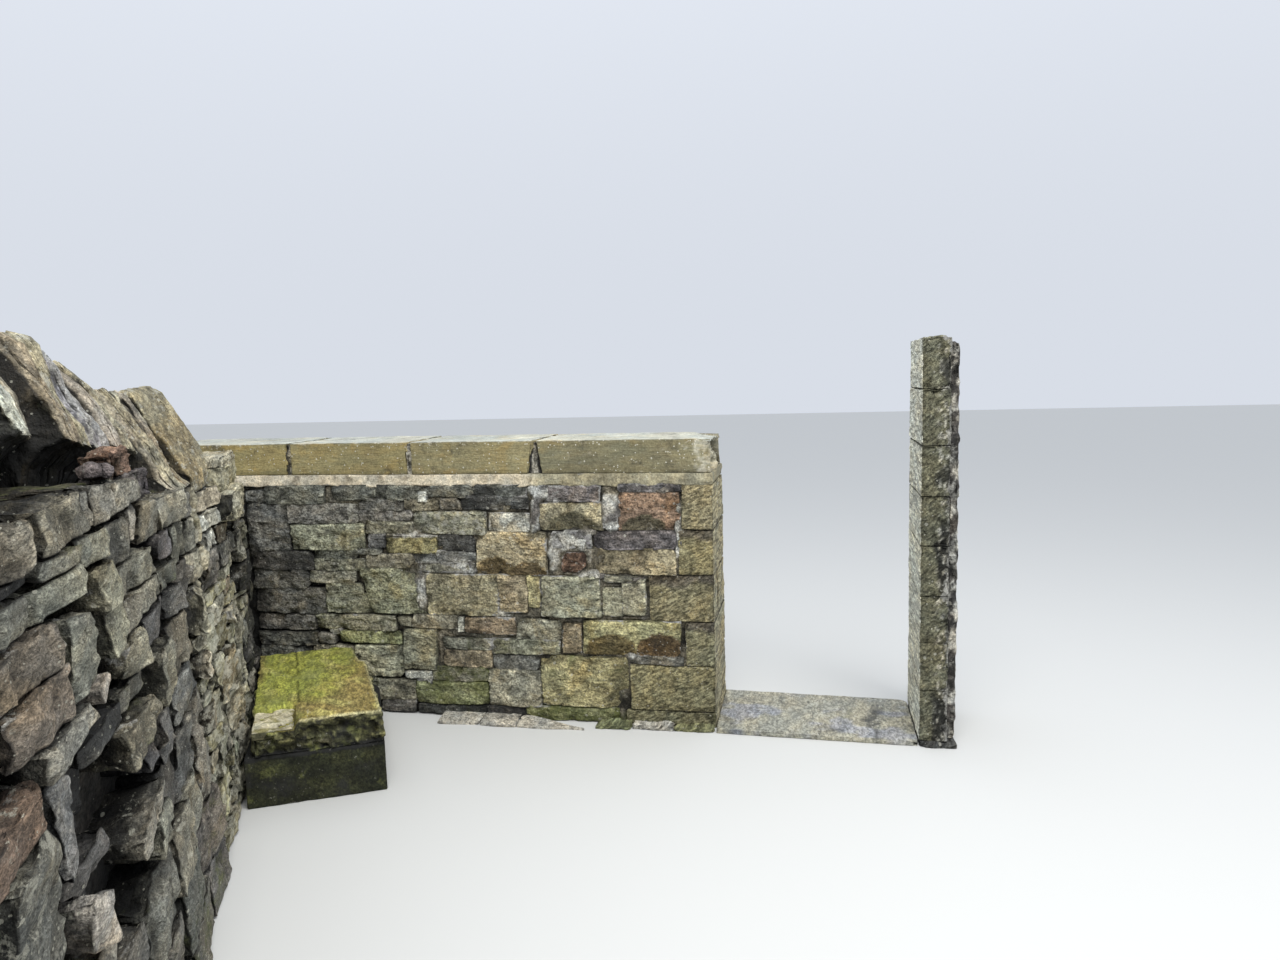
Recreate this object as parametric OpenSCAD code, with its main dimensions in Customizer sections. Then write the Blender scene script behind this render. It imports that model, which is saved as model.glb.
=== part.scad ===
// Corner of a stone-walled yard with a narrow walk-through stile.
// A mortared rubble wall with a dressed coping ends in a quoined jamb, a
// walk-through gap with a threshold slab separates it from a slim block-built
// pier, a two-slab stone step stands in the corner, and a dry-stone return
// wall with rough upright cope stones runs off at an angle.
// Millimetres, +Z up. The origin is the centre of the gap at ground level.
// +X runs along the wall towards the pier, -Y is the yard side.

/* [Front wall] */
// Length of the front wall from its far end to the jamb
wall_len = 2800; // [2400:10:3200]
// Thickness of the front wall
wall_t = 453; // [440:1:480]
// Height of the rubble and quoins, below the mortar bed
rubble_h = 1115; // [1115:1:1135]
// Thickness of the mortar bed under the coping
bed_h = 51; // [30:1:70]

/* [Coping] */
// Height of the coping stones
coping_h = 152; // [120:1:180]
// How far the coping is set back from the wall face
coping_back = 15; // [0:1:40]
// Width of the narrow upright coping joints
coping_joint = 24; // [10:1:40]

/* [Gap] */
// Clear width of the walk-through gap
gap_w = 872; // [600:1:1000]
// Thickness of the threshold slab above the ground
threshold_t = 20; // [12:1:40]

/* [Pier] */
// Width of the pier across the gap
pier_w = 115; // [90:1:200]
// Depth of the pier from front to back
pier_d = 457; // [400:1:500]
// How far the pier stands forward of the wall face
pier_fwd = 85; // [40:1:120]
// Height of the thin foot stone under the pier
pier_foot_h = 23; // [15:1:40]
// Width of the mortar on the outer side of the pier
fillet_w = 35; // [15:1:50]

/* [Step] */
// Height of the lower step slab
step_low_h = 197; // [150:1:230]
// Thickness of the upper step slab
step_up_h = 126; // [100:1:160]
// Thickness of the cement repair on the front corner
patch_t = 24; // [15:1:35]

/* [Return wall] */
// Angle between the front wall and the return wall
return_angle = 61.5; // [60:0.5:64]
// Distance of the inner corner from the jamb
corner_x = 2250; // [2245:1:2260]
// Length of the return wall along its yard face
return_len = 3450; // [3450:10:3700]
// Thickness of the return wall at the ground
return_t = 500; // [480:5:560]
// Slope of each face of the return wall at 1400 mm height
batter = 50; // [30:1:60]

/* [Cope stones] */
// Thickness of the rounded crest of a cope stone
cope_crest = 36; // [20:1:60]

/* [Hidden] */

// The jamb face of the front wall and its yard face.
jamb_x = -gap_w / 2;
face_y = -wall_t / 2;
coping_z = rubble_h + bed_h;

// Quoins from the top down: length along the wall and height of the underside.
quoin_len = [145, 165, 300, 140, 400, 420];
quoin_z = [910, 705, 490, 285, 70, 0];
function quoin_top(i) = i == 0 ? rubble_h : quoin_z[i - 1];

// Pier bed joints above the foot.
pier_z = [pier_foot_h, 243, 452, 653, 865, 1072, 1283, 1514, 1723];

// Coping joints, measured from the jamb: centre, half width below and above.
cj = [[2050, coping_joint / 2, coping_joint / 2],
      [1430, coping_joint / 2, coping_joint / 2],
      [816, 33, 10]];

// Cope stones from the corner outwards:
// start, length, bed height, height above the bed, set-back of the crest,
// set-back and height of the lower end on the yard side, edge of the bearing.
copes = [[925, 350, 1235, 377, 240, 47, 65, 47],
         [1283, 305, 1270, 338, 262, 52, 0, 52],
         [1596, 262, 1290, 402, 322, 136, 125, 252],
         [1866, 350, 1320, 440, 318, 158, 135, 268],
         [2224, 262, 1395, 312, 338, 203, 108, 310],
         [2493, 320, 1395, 340, 322, 211, 82, 310],
         [2821, 330, 1395, 384, 278, 141, 72, 265],
         [3159, 285, 1395, 363, 290, 133, 63, 260]];

module at_jamb() translate([jamb_x, face_y, 0]) children();
module at_return() at_jamb() translate([-corner_x, 0, 0]) rotate(-return_angle) children();

// An upright outline (x, z) given depth along +Y.
module upright(d) translate([0, d, 0]) rotate([90, 0, 0]) linear_extrude(d) children();
// A cross-section (n, z) run along the return wall.
module along(l) rotate([90, 0, 90]) linear_extrude(l) children();

// ---- front wall ----
module front_wall() color([0.36, 0.34, 0.28]) at_jamb() upright(wall_t)
    difference() {
        translate([-wall_len, 0]) square([wall_len, rubble_h]);
        for (i = [0:5])
            translate([-quoin_len[i], quoin_z[i]])
                square([quoin_len[i] + 1, quoin_top(i) - quoin_z[i] + (i == 0 ? 1 : 0)]);
    }

module quoin(i) color([0.45, 0.42, 0.31]) at_jamb()
    translate([-quoin_len[i], 0, quoin_z[i]])
        cube([quoin_len[i], wall_t, quoin_top(i) - quoin_z[i]]);

module coping_bed() color([0.60, 0.58, 0.50]) at_jamb()
    translate([-wall_len, 0, rubble_h]) cube([wall_len, wall_t, bed_h]);

// Outline of the gap between two coping stones.
module joint_2d(j) polygon([
    [-j[0] - j[1], 0], [-j[0] + j[1], 0],
    [-j[0] + j[2], coping_h], [-j[0] - j[2], coping_h]]);

module coping_row() at_jamb() translate([0, coping_back, coping_z])
    upright(wall_t - coping_back)
        difference() {
            translate([-wall_len, 0]) square([wall_len, coping_h]);
            for (j = cj) joint_2d(j);
        }

module coping_stone(i) color([0.55, 0.50, 0.33]) intersection() {
    coping_row();
    at_jamb() translate([i == 0 ? -wall_len - 10 : -cj[i - 1][0], -10, coping_z - 10])
        cube([(i == 0 ? wall_len + 10 : cj[i - 1][0]) - (i == 3 ? -10 : cj[i][0]),
              wall_t + 20, coping_h + 20]);
}

// The end stone has lost its back corner and a flake at the jamb.
module coping_stone_4() color([0.55, 0.50, 0.33]) difference() {
    coping_stone(3);
    at_jamb() translate([0, wall_t, coping_z + 60]) rotate(45) cube([60, 60, 300], center = true);
    at_jamb() translate([6, 0, coping_z + coping_h]) rotate([0, 45, 0]) cube([30, 1200, 30], center = true);
}

module coping_pointing() color([0.66, 0.65, 0.60]) at_jamb()
    translate([0, coping_back + 6, coping_z]) upright(wall_t - coping_back - 12)
        for (j = cj) joint_2d(j);

// ---- ground line ----
module footing_stones() color([0.33, 0.32, 0.24]) at_jamb() {
    translate([-550, -92, 0]) cube([165, 92, 18]);
    translate([-377, -80, 0]) cube([185, 80, 20]);
    translate([-184, -82, 0]) cube([176, 82, 18]);
}

module base_haunching() color([0.62, 0.61, 0.56]) at_jamb()
    translate([-1315, 0, 0]) rotate([90, 0, 90]) linear_extrude(725)
        polygon([[0, 0], [-105, 0], [-97, 12], [0, 30]]);

module threshold_slab() color([0.52, 0.51, 0.46]) at_jamb()
    linear_extrude(threshold_t)
        polygon([[0, -60], [gap_w, -95], [gap_w, 410], [0, wall_t + 7]]);

// ---- pier ----
module at_pier() at_jamb() translate([gap_w, -pier_fwd, 0]) children();

module pier_foot() color([0.20, 0.20, 0.17]) at_pier()
    translate([0, -18, 0]) cube([pier_w + fillet_w, pier_d + 18, pier_foot_h]);

module pier_block(i) color([0.36, 0.36, 0.29]) at_pier()
    translate([0, 0, pier_z[i]]) cube([pier_w, pier_d, pier_z[i + 1] - pier_z[i]]);

module pier_mortar() color([0.40, 0.39, 0.36]) at_pier()
    translate([pier_w, 28, pier_foot_h]) cube([fillet_w, pier_d - 28, 1700 - pier_foot_h]);

// ---- step ----
// Plan outlines (s, n) in the return wall's own directions.
module clip_at_front_wall() intersection() {
    children();
    at_jamb() translate([-4000, -4000, -10]) cube([8000, 4000, 3000]);
}

module step_slab_lower() color([0.21, 0.22, 0.15]) clip_at_front_wall()
    at_return() linear_extrude(step_low_h)
        polygon([[1152, 19], [1167, 533], [480, 481], [455, 453], [100, 420], [197, 19]]);

module step_top_2d() polygon([[1148, 55], [1163, 530], [480, 478], [455, 450], [210, 416], [192, 6]]);
module step_patch_2d() polygon([[1160, 40], [1163, 205], [945, 200], [930, 34]]);

module step_slab_upper() color([0.48, 0.47, 0.18]) clip_at_front_wall()
    at_return() translate([0, 0, step_low_h]) difference() {
        linear_extrude(step_up_h) step_top_2d();
        translate([0, 0, step_up_h - 50]) linear_extrude(100) step_patch_2d();
    }

module step_patch() color([0.66, 0.64, 0.56]) clip_at_front_wall()
    at_return() translate([0, 0, step_low_h + step_up_h - 50]) linear_extrude(patch_t)
        intersection() { step_top_2d(); step_patch_2d(); }

// ---- return wall ----
function face_n(z) = -batter * z / 1400;
module return_section() polygon([[0, 0], [face_n(1400), 1400],
    [-return_t + batter, 1400], [-return_t, 0]]);

// Bed line of the return wall seen from the yard (s, z).
module return_elevation() polygon(concat(
    [[-600, 0], [-600, 1120], [496, 1120], [496, 1070], [905, 1070]],
    [for (i = [0:len(copes) - 1]) for (e = [0, 1])
        [e == 0 ? (i == 0 ? 905 : copes[i][0] - 4)
                : (i == len(copes) - 1 ? return_len : copes[i + 1][0] - 4), copes[i][2]]],
    [[return_len, 0]]));

module return_wall() color([0.36, 0.35, 0.30]) clip_at_front_wall() at_return()
    intersection() {
        translate([-600, 0, 0]) along(return_len + 600) return_section();
        translate([0, -return_t, 0]) upright(return_t) return_elevation();
    }

module corner_block() color([0.47, 0.44, 0.34]) at_return()
    translate([500, -460, 1070]) cube([397, 488, 117]);

module corner_top_stone() color([0.50, 0.44, 0.40]) at_return()
    translate([420, -440, 1187]) cube([450, 430, 138]);

// A cope stone on edge: a leaning outline (n, z) run along the wall. Those that
// stand further back have a broken end raised clear of the bed on the yard side.
module cope_stone(i) {
    c = copes[i];
    h = c[3];
    color([0.47, 0.44, 0.33]) at_return() translate([c[0], 0, c[2]]) along(c[1])
        polygon(concat(
            c[7] > c[5] ? [[-c[7], 0], [-(c[7] + c[5]) / 2 - 10, c[6] - 35]] : [[-c[5], 0]],
            c[6] > 0 ? [[-c[5], c[6]]] : [],
            [[-c[4] + 45, h - 35], [-c[4] + cope_crest / 2, h - 5], [-c[4] - cope_crest / 2, h - 2],
             [-c[4] - 0.45 * (462 - c[4]), h - 70], [-442, 0.38 * h], [-462, 0]]));
}

// Small stones wedged under the raised ends of the cope stones:
// start, set-back, underside, length, depth, height.
packing = [[1985, 160, 1320, 225, 110, 68],
           [2100, 150, 1388, 110, 80, 52],
           [2220, 118, 1395, 125, 48, 52],
           [1610, 190, 1290, 180, 70, 68]];
module packing_stones() color([0.40, 0.36, 0.34]) at_return()
    for (p = packing) translate([p[0], -p[1], p[2]]) cube([p[3], p[4], p[5]]);

front_wall();
coping_bed();
coping_stone(0);  // coping_stone_1
coping_stone(1);  // coping_stone_2
coping_stone(2);  // coping_stone_3
coping_stone_4();
coping_pointing();
quoin(0);  // quoin_1
quoin(1);  // quoin_2
quoin(2);  // quoin_3
quoin(3);  // quoin_4
quoin(4);  // quoin_5
quoin(5);  // quoin_6
footing_stones();
base_haunching();
threshold_slab();
pier_foot();
pier_block(0);  // pier_block_1
pier_block(1);  // pier_block_2
pier_block(2);  // pier_block_3
pier_block(3);  // pier_block_4
pier_block(4);  // pier_block_5
pier_block(5);  // pier_block_6
pier_block(6);  // pier_block_7
pier_block(7);  // pier_block_8
pier_mortar();
step_slab_lower();
step_slab_upper();
step_patch();
return_wall();
corner_block();
corner_top_stone();
packing_stones();
cope_stone(0);  // cope_stone_1
cope_stone(1);  // cope_stone_2
cope_stone(2);  // cope_stone_3
cope_stone(3);  // cope_stone_4
cope_stone(4);  // cope_stone_5
cope_stone(5);  // cope_stone_6
cope_stone(6);  // cope_stone_7
cope_stone(7);  // cope_stone_8
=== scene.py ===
"""Visual model of a stone yard wall with a walk-through stile.

Every stone is its own closed mesh, generated from a listed layout or, on the unseen sides, by a seeded
course-laying rule, and joined into one piece per area. Lengths are metres in the row's frame: the origin is the
centre of the gap at ground level, +X runs towards the pier, -Y is the yard side.
"""

import bpy
import math
import numpy as np
from mathutils import Matrix, Vector


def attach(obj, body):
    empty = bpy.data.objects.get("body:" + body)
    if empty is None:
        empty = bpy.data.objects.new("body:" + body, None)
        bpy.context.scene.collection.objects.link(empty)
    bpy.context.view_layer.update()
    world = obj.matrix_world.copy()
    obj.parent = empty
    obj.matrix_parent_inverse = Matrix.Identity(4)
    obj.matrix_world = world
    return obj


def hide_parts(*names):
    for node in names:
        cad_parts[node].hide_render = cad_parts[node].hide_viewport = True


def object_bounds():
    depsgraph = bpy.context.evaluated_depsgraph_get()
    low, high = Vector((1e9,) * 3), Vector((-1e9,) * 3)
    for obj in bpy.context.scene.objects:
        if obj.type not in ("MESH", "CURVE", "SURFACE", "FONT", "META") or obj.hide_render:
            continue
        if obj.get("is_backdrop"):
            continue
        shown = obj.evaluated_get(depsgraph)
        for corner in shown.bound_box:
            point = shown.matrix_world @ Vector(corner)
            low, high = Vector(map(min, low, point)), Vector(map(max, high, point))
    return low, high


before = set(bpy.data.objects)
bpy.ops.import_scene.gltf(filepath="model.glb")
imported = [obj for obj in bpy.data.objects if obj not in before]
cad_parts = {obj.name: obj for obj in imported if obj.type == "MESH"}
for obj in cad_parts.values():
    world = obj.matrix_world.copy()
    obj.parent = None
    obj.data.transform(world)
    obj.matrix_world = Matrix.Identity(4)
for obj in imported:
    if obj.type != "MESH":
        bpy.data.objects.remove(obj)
_lo, _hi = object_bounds()
cad_box = [list(_lo), list(_hi)]

# ---------------------------------------------------------------- dimensions
GAP, WT = 0.872, 0.453
JX, FY = -GAP / 2, -WT / 2
RUBBLE_H, BED_H, COP_H = 1.115, 0.051, 0.152
COP_Z = RUBBLE_H + BED_H
RET_A = math.radians(-61.5)
SD = np.array([math.cos(RET_A), math.sin(RET_A), 0.0])
ND = np.array([-math.sin(RET_A), math.cos(RET_A), 0.0])
CORNER = np.array([JX - 2.25, FY, 0.0])
UP = np.array([0.0, 0.0, 1.0])
BATTER = 0.05 / 1.4
RET_T = 0.5
PIER_Z = [0.023, 0.243, 0.452, 0.653, 0.865, 1.072, 1.283, 1.514, 1.723]


# ---------------------------------------------------------------- noise
def _hash(ix, iy, iz, seed):
    h = (ix * np.uint32(0x8DA6B343)) ^ (iy * np.uint32(0xD8163841)) ^ (iz * np.uint32(0xCB1AB31F))
    h ^= np.uint32((seed * 0x9E3779B1) & 0xFFFFFFFF)
    h ^= h >> np.uint32(15)
    h *= np.uint32(0x2C1B3C6D)
    h ^= h >> np.uint32(12)
    h *= np.uint32(0x297A2D39)
    h ^= h >> np.uint32(15)
    return h


def perlin(p, seed=0):
    p = np.asarray(p, np.float64)
    fl = np.floor(p)
    i = fl.astype(np.int64).astype(np.uint32)
    f = (p - fl).astype(np.float32)
    u = f * f * f * (f * (f * 6 - 15) + 10)
    out = np.zeros(len(p), np.float32)
    one = np.uint32(1)
    for dx in (0, 1):
        wx = u[:, 0] if dx else 1 - u[:, 0]
        for dy in (0, 1):
            wy = u[:, 1] if dy else 1 - u[:, 1]
            for dz in (0, 1):
                wz = u[:, 2] if dz else 1 - u[:, 2]
                h = _hash(i[:, 0] + one * dx, i[:, 1] + one * dy, i[:, 2] + one * dz, seed)
                gx = (h & 1023).astype(np.float32) / 511.5 - 1
                gy = ((h >> 10) & 1023).astype(np.float32) / 511.5 - 1
                gz = ((h >> 20) & 1023).astype(np.float32) / 511.5 - 1
                out += (gx * (f[:, 0] - dx) + gy * (f[:, 1] - dy) + gz * (f[:, 2] - dz)) * wx * wy * wz
    return out * 1.5


def facets(x, y, cell, seed, slope=0.25, step=0.003, sharp=22.0):
    """Broken-stone relief: each cell of an irregular tiling is a small tilted plane."""
    gx, gy = x / cell, y / cell
    ix, iy = np.floor(gx), np.floor(gy)
    num, den = np.zeros(len(gx)), np.full(len(gx), 1e-12)
    for dx in (-1, 0, 1):
        for dy in (-1, 0, 1):
            cx, cy = ix + dx, iy + dy
            ux, uy = cx.astype(np.int64).astype(np.uint32), cy.astype(np.int64).astype(np.uint32)
            h = _hash(ux, uy, np.full(len(ux), 17, np.uint32), seed)
            k = _hash(ux, uy, np.full(len(ux), 91, np.uint32), seed + 5)
            rx = gx - cx - 0.1 - 0.8 * (h & 1023) / 1023.0
            ry = gy - cy - 0.1 - 0.8 * ((h >> 10) & 1023) / 1023.0
            w = np.exp(-sharp * (rx * rx + ry * ry))
            a, b, c = ((k >> s & 1023) / 511.5 - 1 for s in (0, 10, 20))
            num += w * (c * step + cell * slope * (a * rx + b * ry))
            den += w
    return num / den


def smooth(x, a, b):
    t = np.clip((x - a) / (b - a), 0, 1)
    return t * t * (3 - 2 * t)


def srgb(r, g, b):
    return tuple(((c / 255) / 12.92 if c / 255 < 0.04045 else ((c / 255 + 0.055) / 1.055) ** 2.4) for c in (r, g, b))


# Stone tones and their letters: near black (sooty stones, and painted shade on stones set deep in holes), dark grey,
# olive, green-grey, buff, brown, reddish, pale, yellow, mossy, purple-grey and tan.
TONES = {
    "k": srgb(76, 76, 74), "d": srgb(102, 101, 95), "o": srgb(120, 118, 104), "g": srgb(132, 132, 113),
    "b": srgb(146, 139, 115), "w": srgb(129, 119, 98), "r": srgb(114, 95, 81), "n": srgb(92, 74, 63), "p": srgb(162, 160, 151),
    "y": srgb(133, 128, 98), "m": srgb(124, 126, 95), "u": srgb(108, 107, 104), "t": srgb(148, 143, 125),
    "q": srgb(146, 143, 143), "v": srgb(92, 88, 87), "s": srgb(153, 148, 114),
}


# ---------------------------------------------------------------- mesh building
def axis_coords(length, h, r):
    r = min(r, length * 0.3)
    n = max(2, int(round((length - 2 * r) / h)) + 1)
    mid = np.linspace(r, length - r, n)
    if h > 0.02:
        return np.concatenate([[0], mid, [length]])
    return np.concatenate([[0, r * 0.35], mid, [length - r * 0.35, length]])


class Face:
    """A wall face: a runs along it, b goes up, h comes out of it."""

    def __init__(self, origin, along, out, batter=0.0, up=UP):
        self.o, self.a, self.n, self.up, self.batter = (np.asarray(v, float) for v in (origin, along, out, up, batter))
        self.flip = float(np.dot(np.cross(self.a, self.up), self.n)) < 0

    def world(self, a, b, h):
        h = h - self.batter * b
        return self.o + a[:, None] * self.a + b[:, None] * self.up + h[:, None] * self.n


FRONT = Face((JX, FY, 0), (1, 0, 0), (0, -1, 0))
BACK = Face((JX, -FY, 0), (-1, 0, 0), (0, 1, 0))
LEFT_END = Face((JX - 2.8, -FY, 0), (0, -1, 0), (-1, 0, 0))
YARD = Face(CORNER, SD, ND, BATTER)
OUTER = Face(CORNER - ND * RET_T, SD, -ND, BATTER)
NEAR_END = Face(CORNER + SD * 3.45 - ND * RET_T, ND, SD)


class Piece:
    """Collects stones and becomes one mesh object."""

    def __init__(self, name, seed, mute=0.0):
        self.name, self.rng = name, np.random.default_rng(seed)
        self.v, self.tone, self.mask, self.fx = [], [], [], []
        self.quads, self.ngons, self.nv, self.flip = [], [], 0, False
        self.count = 0
        self.mute = mute

    def _store(self, V, tone, mask, fx, quads, ngons, flip=False):
        quads = np.asarray(quads, np.int64).reshape(-1, 4)
        if flip:
            quads = quads[:, ::-1]
            ngons = [n[::-1] for n in ngons]
        self.quads.append(quads + self.nv)
        self.ngons += [np.asarray(n, np.int64) + self.nv for n in ngons]
        self.v.append(V)
        self.tone.append(tone)
        self.mask.append(mask)
        self.fx.append(fx)
        self.nv += len(V)
        self.count += 1

    def build(self, material, body="root", replaces=(), slot=None, crisp=33):
        V = np.concatenate(self.v).astype(np.float32)
        Q = np.concatenate(self.quads)
        loops = [Q.ravel()] + self.ngons
        sizes = np.concatenate([np.full(len(Q), 4), np.array([len(n) for n in self.ngons], np.int64)]).astype(np.int64)
        L = np.concatenate(loops).astype(np.int32)
        starts = np.concatenate([[0], np.cumsum(sizes)[:-1]]).astype(np.int32)
        me = bpy.data.meshes.new(self.name)
        me.vertices.add(len(V))
        me.vertices.foreach_set("co", V.ravel())
        me.loops.add(len(L))
        me.loops.foreach_set("vertex_index", L)
        me.polygons.add(len(sizes))
        me.polygons.foreach_set("loop_start", starts)
        me.update(calc_edges=True)
        me.validate()
        for key, data in (("tone", self.tone), ("mask", self.mask), ("fx", self.fx)):
            at = me.attributes.new(key, "FLOAT_COLOR", "POINT")
            at.data.foreach_set("color", np.concatenate(data).astype(np.float32).ravel())
        me.polygons.foreach_set("use_smooth", np.ones(len(me.polygons), bool))
        if crisp:
            me.set_sharp_from_angle(angle=math.radians(crisp))
        me.materials.append(material)
        ob = bpy.data.objects.new(self.name, me)
        bpy.context.scene.collection.objects.link(ob)
        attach(ob, body)
        if replaces:
            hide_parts(*replaces)
        tris = int((sizes - 2).sum())
        print("piece", self.name, "stones", self.count, "triangles", tris)
        TRIS[self.name] = tris
        return ob


TRIS = {}


def pick(tone, rng, spread=0.08, mute=0.0):
    c = np.array(TONES[tone]) * (1 + rng.normal(0, spread))
    c = c * (1 - mute) + c.mean() * mute * np.array([1.03, 1.0, 0.94])
    return np.clip(c * (1 + rng.normal(0, 0.018, 3)), 0.01, 0.9)


def cut_planes(rng, x, y, hx, hy, n, slope, reach=0.5):
    """Planar facets broken off towards the sides and corners: the lowest of several tilted planes."""
    f = np.zeros(len(x))
    for _ in range(n):
        a = rng.uniform(0, 2 * math.pi)
        c, s = math.cos(a), math.sin(a)
        d = (abs(c) * hx + abs(s) * hy) * rng.uniform(1 - reach, 0.93)
        f = np.minimum(f, -slope * rng.uniform(0.4, 1.8) * (x * c + y * s - d))
    return f


def scallops(rng, x, y, hx, hy, n, size=(0.012, 0.036)):
    """Shell-shaped chips along the outline, with a crisp lip."""
    f = np.zeros(len(x))
    for _ in range(n):
        t, side = rng.uniform(-1, 1), rng.integers(4)
        cx, cy = ((t * hx, -hy), (hx, t * hy), (t * hx, hy), (-hx, t * hy))[side]
        r = min(rng.uniform(*size), 0.9 * min(hx, hy))
        d2 = ((x - cx) ** 2 + (y - cy) ** 2) / r ** 2
        f = np.minimum(f, -rng.uniform(0.2, 0.5) * r * np.maximum(1 - d2, 0))
    return f


def beds(z, thick, seed):
    """Bedding: every thin layer of the stone stands a little forward or back."""
    i = np.floor(z / thick).astype(np.int64).astype(np.uint32)
    h = _hash(i, np.full(len(i), 7, np.uint32), np.full(len(i), 3, np.uint32), seed)
    return (h & 1023) / 511.5 - 1


def face_stone(pc, fc, quad, out=0.0, depth=0.10, h=0.0105, r=0.0028, tone="d", rough=1.0, layer=0.5, tilt=(0, 0), reach=0.5,
               bulge=0.0, wob=0.8, rings=(0.012, 0.05), chip=1.0, moss=0.0, soot=0.0, lichen=0.3, smear=0.0,
               corner=0.007, bites=(), grow=0.0, rock=1.0, pitch=0.0012, cuts=4, slope=0.17, ha=None, side=0.0, vary=0.08,
               cells=((0.10, 0.09, 0.0022), (0.036, 0.16, 0.0008))):
    """One stone in a wall face. quad is bottom left, bottom right, top right, top left in (a, b)."""
    rng = pc.rng
    q = np.array(quad, float) + grow * np.array([(-1, -1), (1, -1), (1, 1), (-1, 1)])
    W = (np.linalg.norm(q[1] - q[0]) + np.linalg.norm(q[2] - q[3])) / 2
    H = (np.linalg.norm(q[3] - q[0]) + np.linalg.norm(q[2] - q[1])) / 2
    r = min(r, W * 0.25, H * 0.25)
    us, vs = axis_coords(W, ha or h, r), axis_coords(H, h, r)
    nu, nv = len(us), len(vs)
    U, Vv = np.meshgrid(us, vs)
    U, Vv = U.ravel(), Vv.ravel()
    rcs = np.minimum(corner * rng.choice([0.3, 0.8, 1.6, 3.0], 4, p=[0.35, 0.3, 0.23, 0.12]), 0.35 * min(W, H))
    pws = rng.choice([1.0, 1.0, 1.3, 2.0], 4)
    which = (U >= W / 2).astype(int) + 2 * (Vv >= H / 2).astype(int)
    rc, pw = rcs[which], pws[which]
    eu, ev = np.minimum(U, W - U), np.minimum(Vv, H - Vv)
    su, sv = np.where(U < W / 2, 1, -1), np.where(Vv < H / 2, 1, -1)
    du, dv = np.maximum(rc - eu, 0), np.maximum(rc - ev, 0)
    both = (du > 0) & (dv > 0)
    ln = (du ** pw + dv ** pw) ** (1 / pw) + 1e-9
    k = np.where(both, np.maximum(du, dv) / ln, 1)
    eu2, ev2 = np.where(both, rc - du * k, eu), np.where(both, rc - dv * k, ev)
    e = np.where(both, rc - np.maximum(du, dv), np.minimum(eu, ev))
    U2, V2 = np.where(su > 0, eu2, W - eu2), np.where(sv > 0, ev2, H - ev2)
    u, v = (U2 / W)[:, None], (V2 / H)[:, None]
    P = q[0] * (1 - u) * (1 - v) + q[1] * u * (1 - v) + q[2] * u * v + q[3] * (1 - u) * v
    m = np.minimum(e, r)
    drop = r - np.sqrt(np.maximum(r * r - (r - m) ** 2, 0))
    uu, vv = 2 * u[:, 0] - 1, 2 * v[:, 0] - 1
    hh = out - drop + tilt[0] * uu * W / 2 + tilt[1] * vv * H / 2 + bulge * (1 - uu ** 4) * (1 - vv ** 4)
    n0 = nu * nv
    idx = np.arange(n0).reshape(nv, nu)
    peri = np.concatenate([idx[0, :], idx[1:, -1], idx[-1, -2::-1], idx[-2:0:-1, 0]])
    M = len(peri)
    quads = [np.stack([idx[:-1, :-1], idx[:-1, 1:], idx[1:, 1:], idx[1:, :-1]], -1).reshape(-1, 4)]
    A, B, Hh, D, E, S = [P[:, 0]], [P[:, 1]], [hh], [np.zeros(n0)], [e], [np.ones(n0)]
    X, Y = [uu * W / 2], [vv * H / 2]
    cen = q.mean(0)
    last = peri
    depths = [d for d in rings if d < depth] + [depth]
    for kk, d in enumerate(depths):
        shrink = 1 - min(0.25, 0.10 * d / max(min(W, H), 0.03))
        A.append(cen[0] + (P[peri, 0] - cen[0]) * shrink)
        B.append(cen[1] + (P[peri, 1] - cen[1]) * shrink)
        Hh.append(hh[peri] - d)
        D.append(np.full(M, d))
        E.append(np.full(M, -d))
        S.append(np.full(M, max(0.0, 1.0 - d / depth)))
        X.append(X[0][peri])
        Y.append(Y[0][peri])
        new = n0 + kk * M + np.arange(M)
        quads.append(np.stack([last, new, np.roll(new, -1), np.roll(last, -1)], -1))
        last = new
    A, B, Hh, D, E, S, X, Y = (np.concatenate(x) for x in (A, B, Hh, D, E, S, X, Y))
    off = rng.uniform(-40, 40, 3)
    sd = int(rng.integers(1, 9000))
    p = np.stack([A, D, B], 1) + off
    w1 = 0.0036 * wob
    big = facets(p[:, 0], p[:, 2] * 1.25, cells[0][0], sd, cells[0][1], cells[0][2], 48.0)
    sml = facets(p[:, 0], p[:, 2] * 1.25, cells[1][0], sd + 1, cells[1][1], cells[1][2], 36.0)
    f1 = perlin(p * (7, 7, 10), 21)
    f3 = perlin(p * (46, 40, 56), 23)
    bed = beds(p[:, 2] + 0.010 * perlin(p * (9, 9, 5), 24), rng.uniform(0.013, 0.026), sd)
    size = min(1.0, min(W, H) / 0.07)
    broken = cut_planes(rng, X, Y, W / 2, H / 2, cuts, slope, reach)
    nchip = int(round(chip * (W + H) / 0.16 * rng.uniform(0.6, 1.4)))
    broken = np.minimum(broken, scallops(rng, X, Y, W / 2, H / 2, nchip))
    A = A + w1 * perlin(p / 0.08, 11) + 0.45 * w1 * perlin(p / 0.026, 12)
    B = B + w1 * perlin(p / 0.08, 13) + 0.45 * w1 * perlin(p / 0.026, 14)
    En = np.maximum(E, 0)
    F = rough * (0.0018 * f1 + rock * (big + sml) + 0.0007 * f3) + layer * 0.0022 * bed + broken * min(1.3, rough)
    F = F - pitch * (1 - smooth(En, 0, 0.014)) * (0.8 + 1.3 * perlin(p / 0.06, 26))
    own_f, F0 = F.copy(), F.copy()
    if side:
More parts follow.
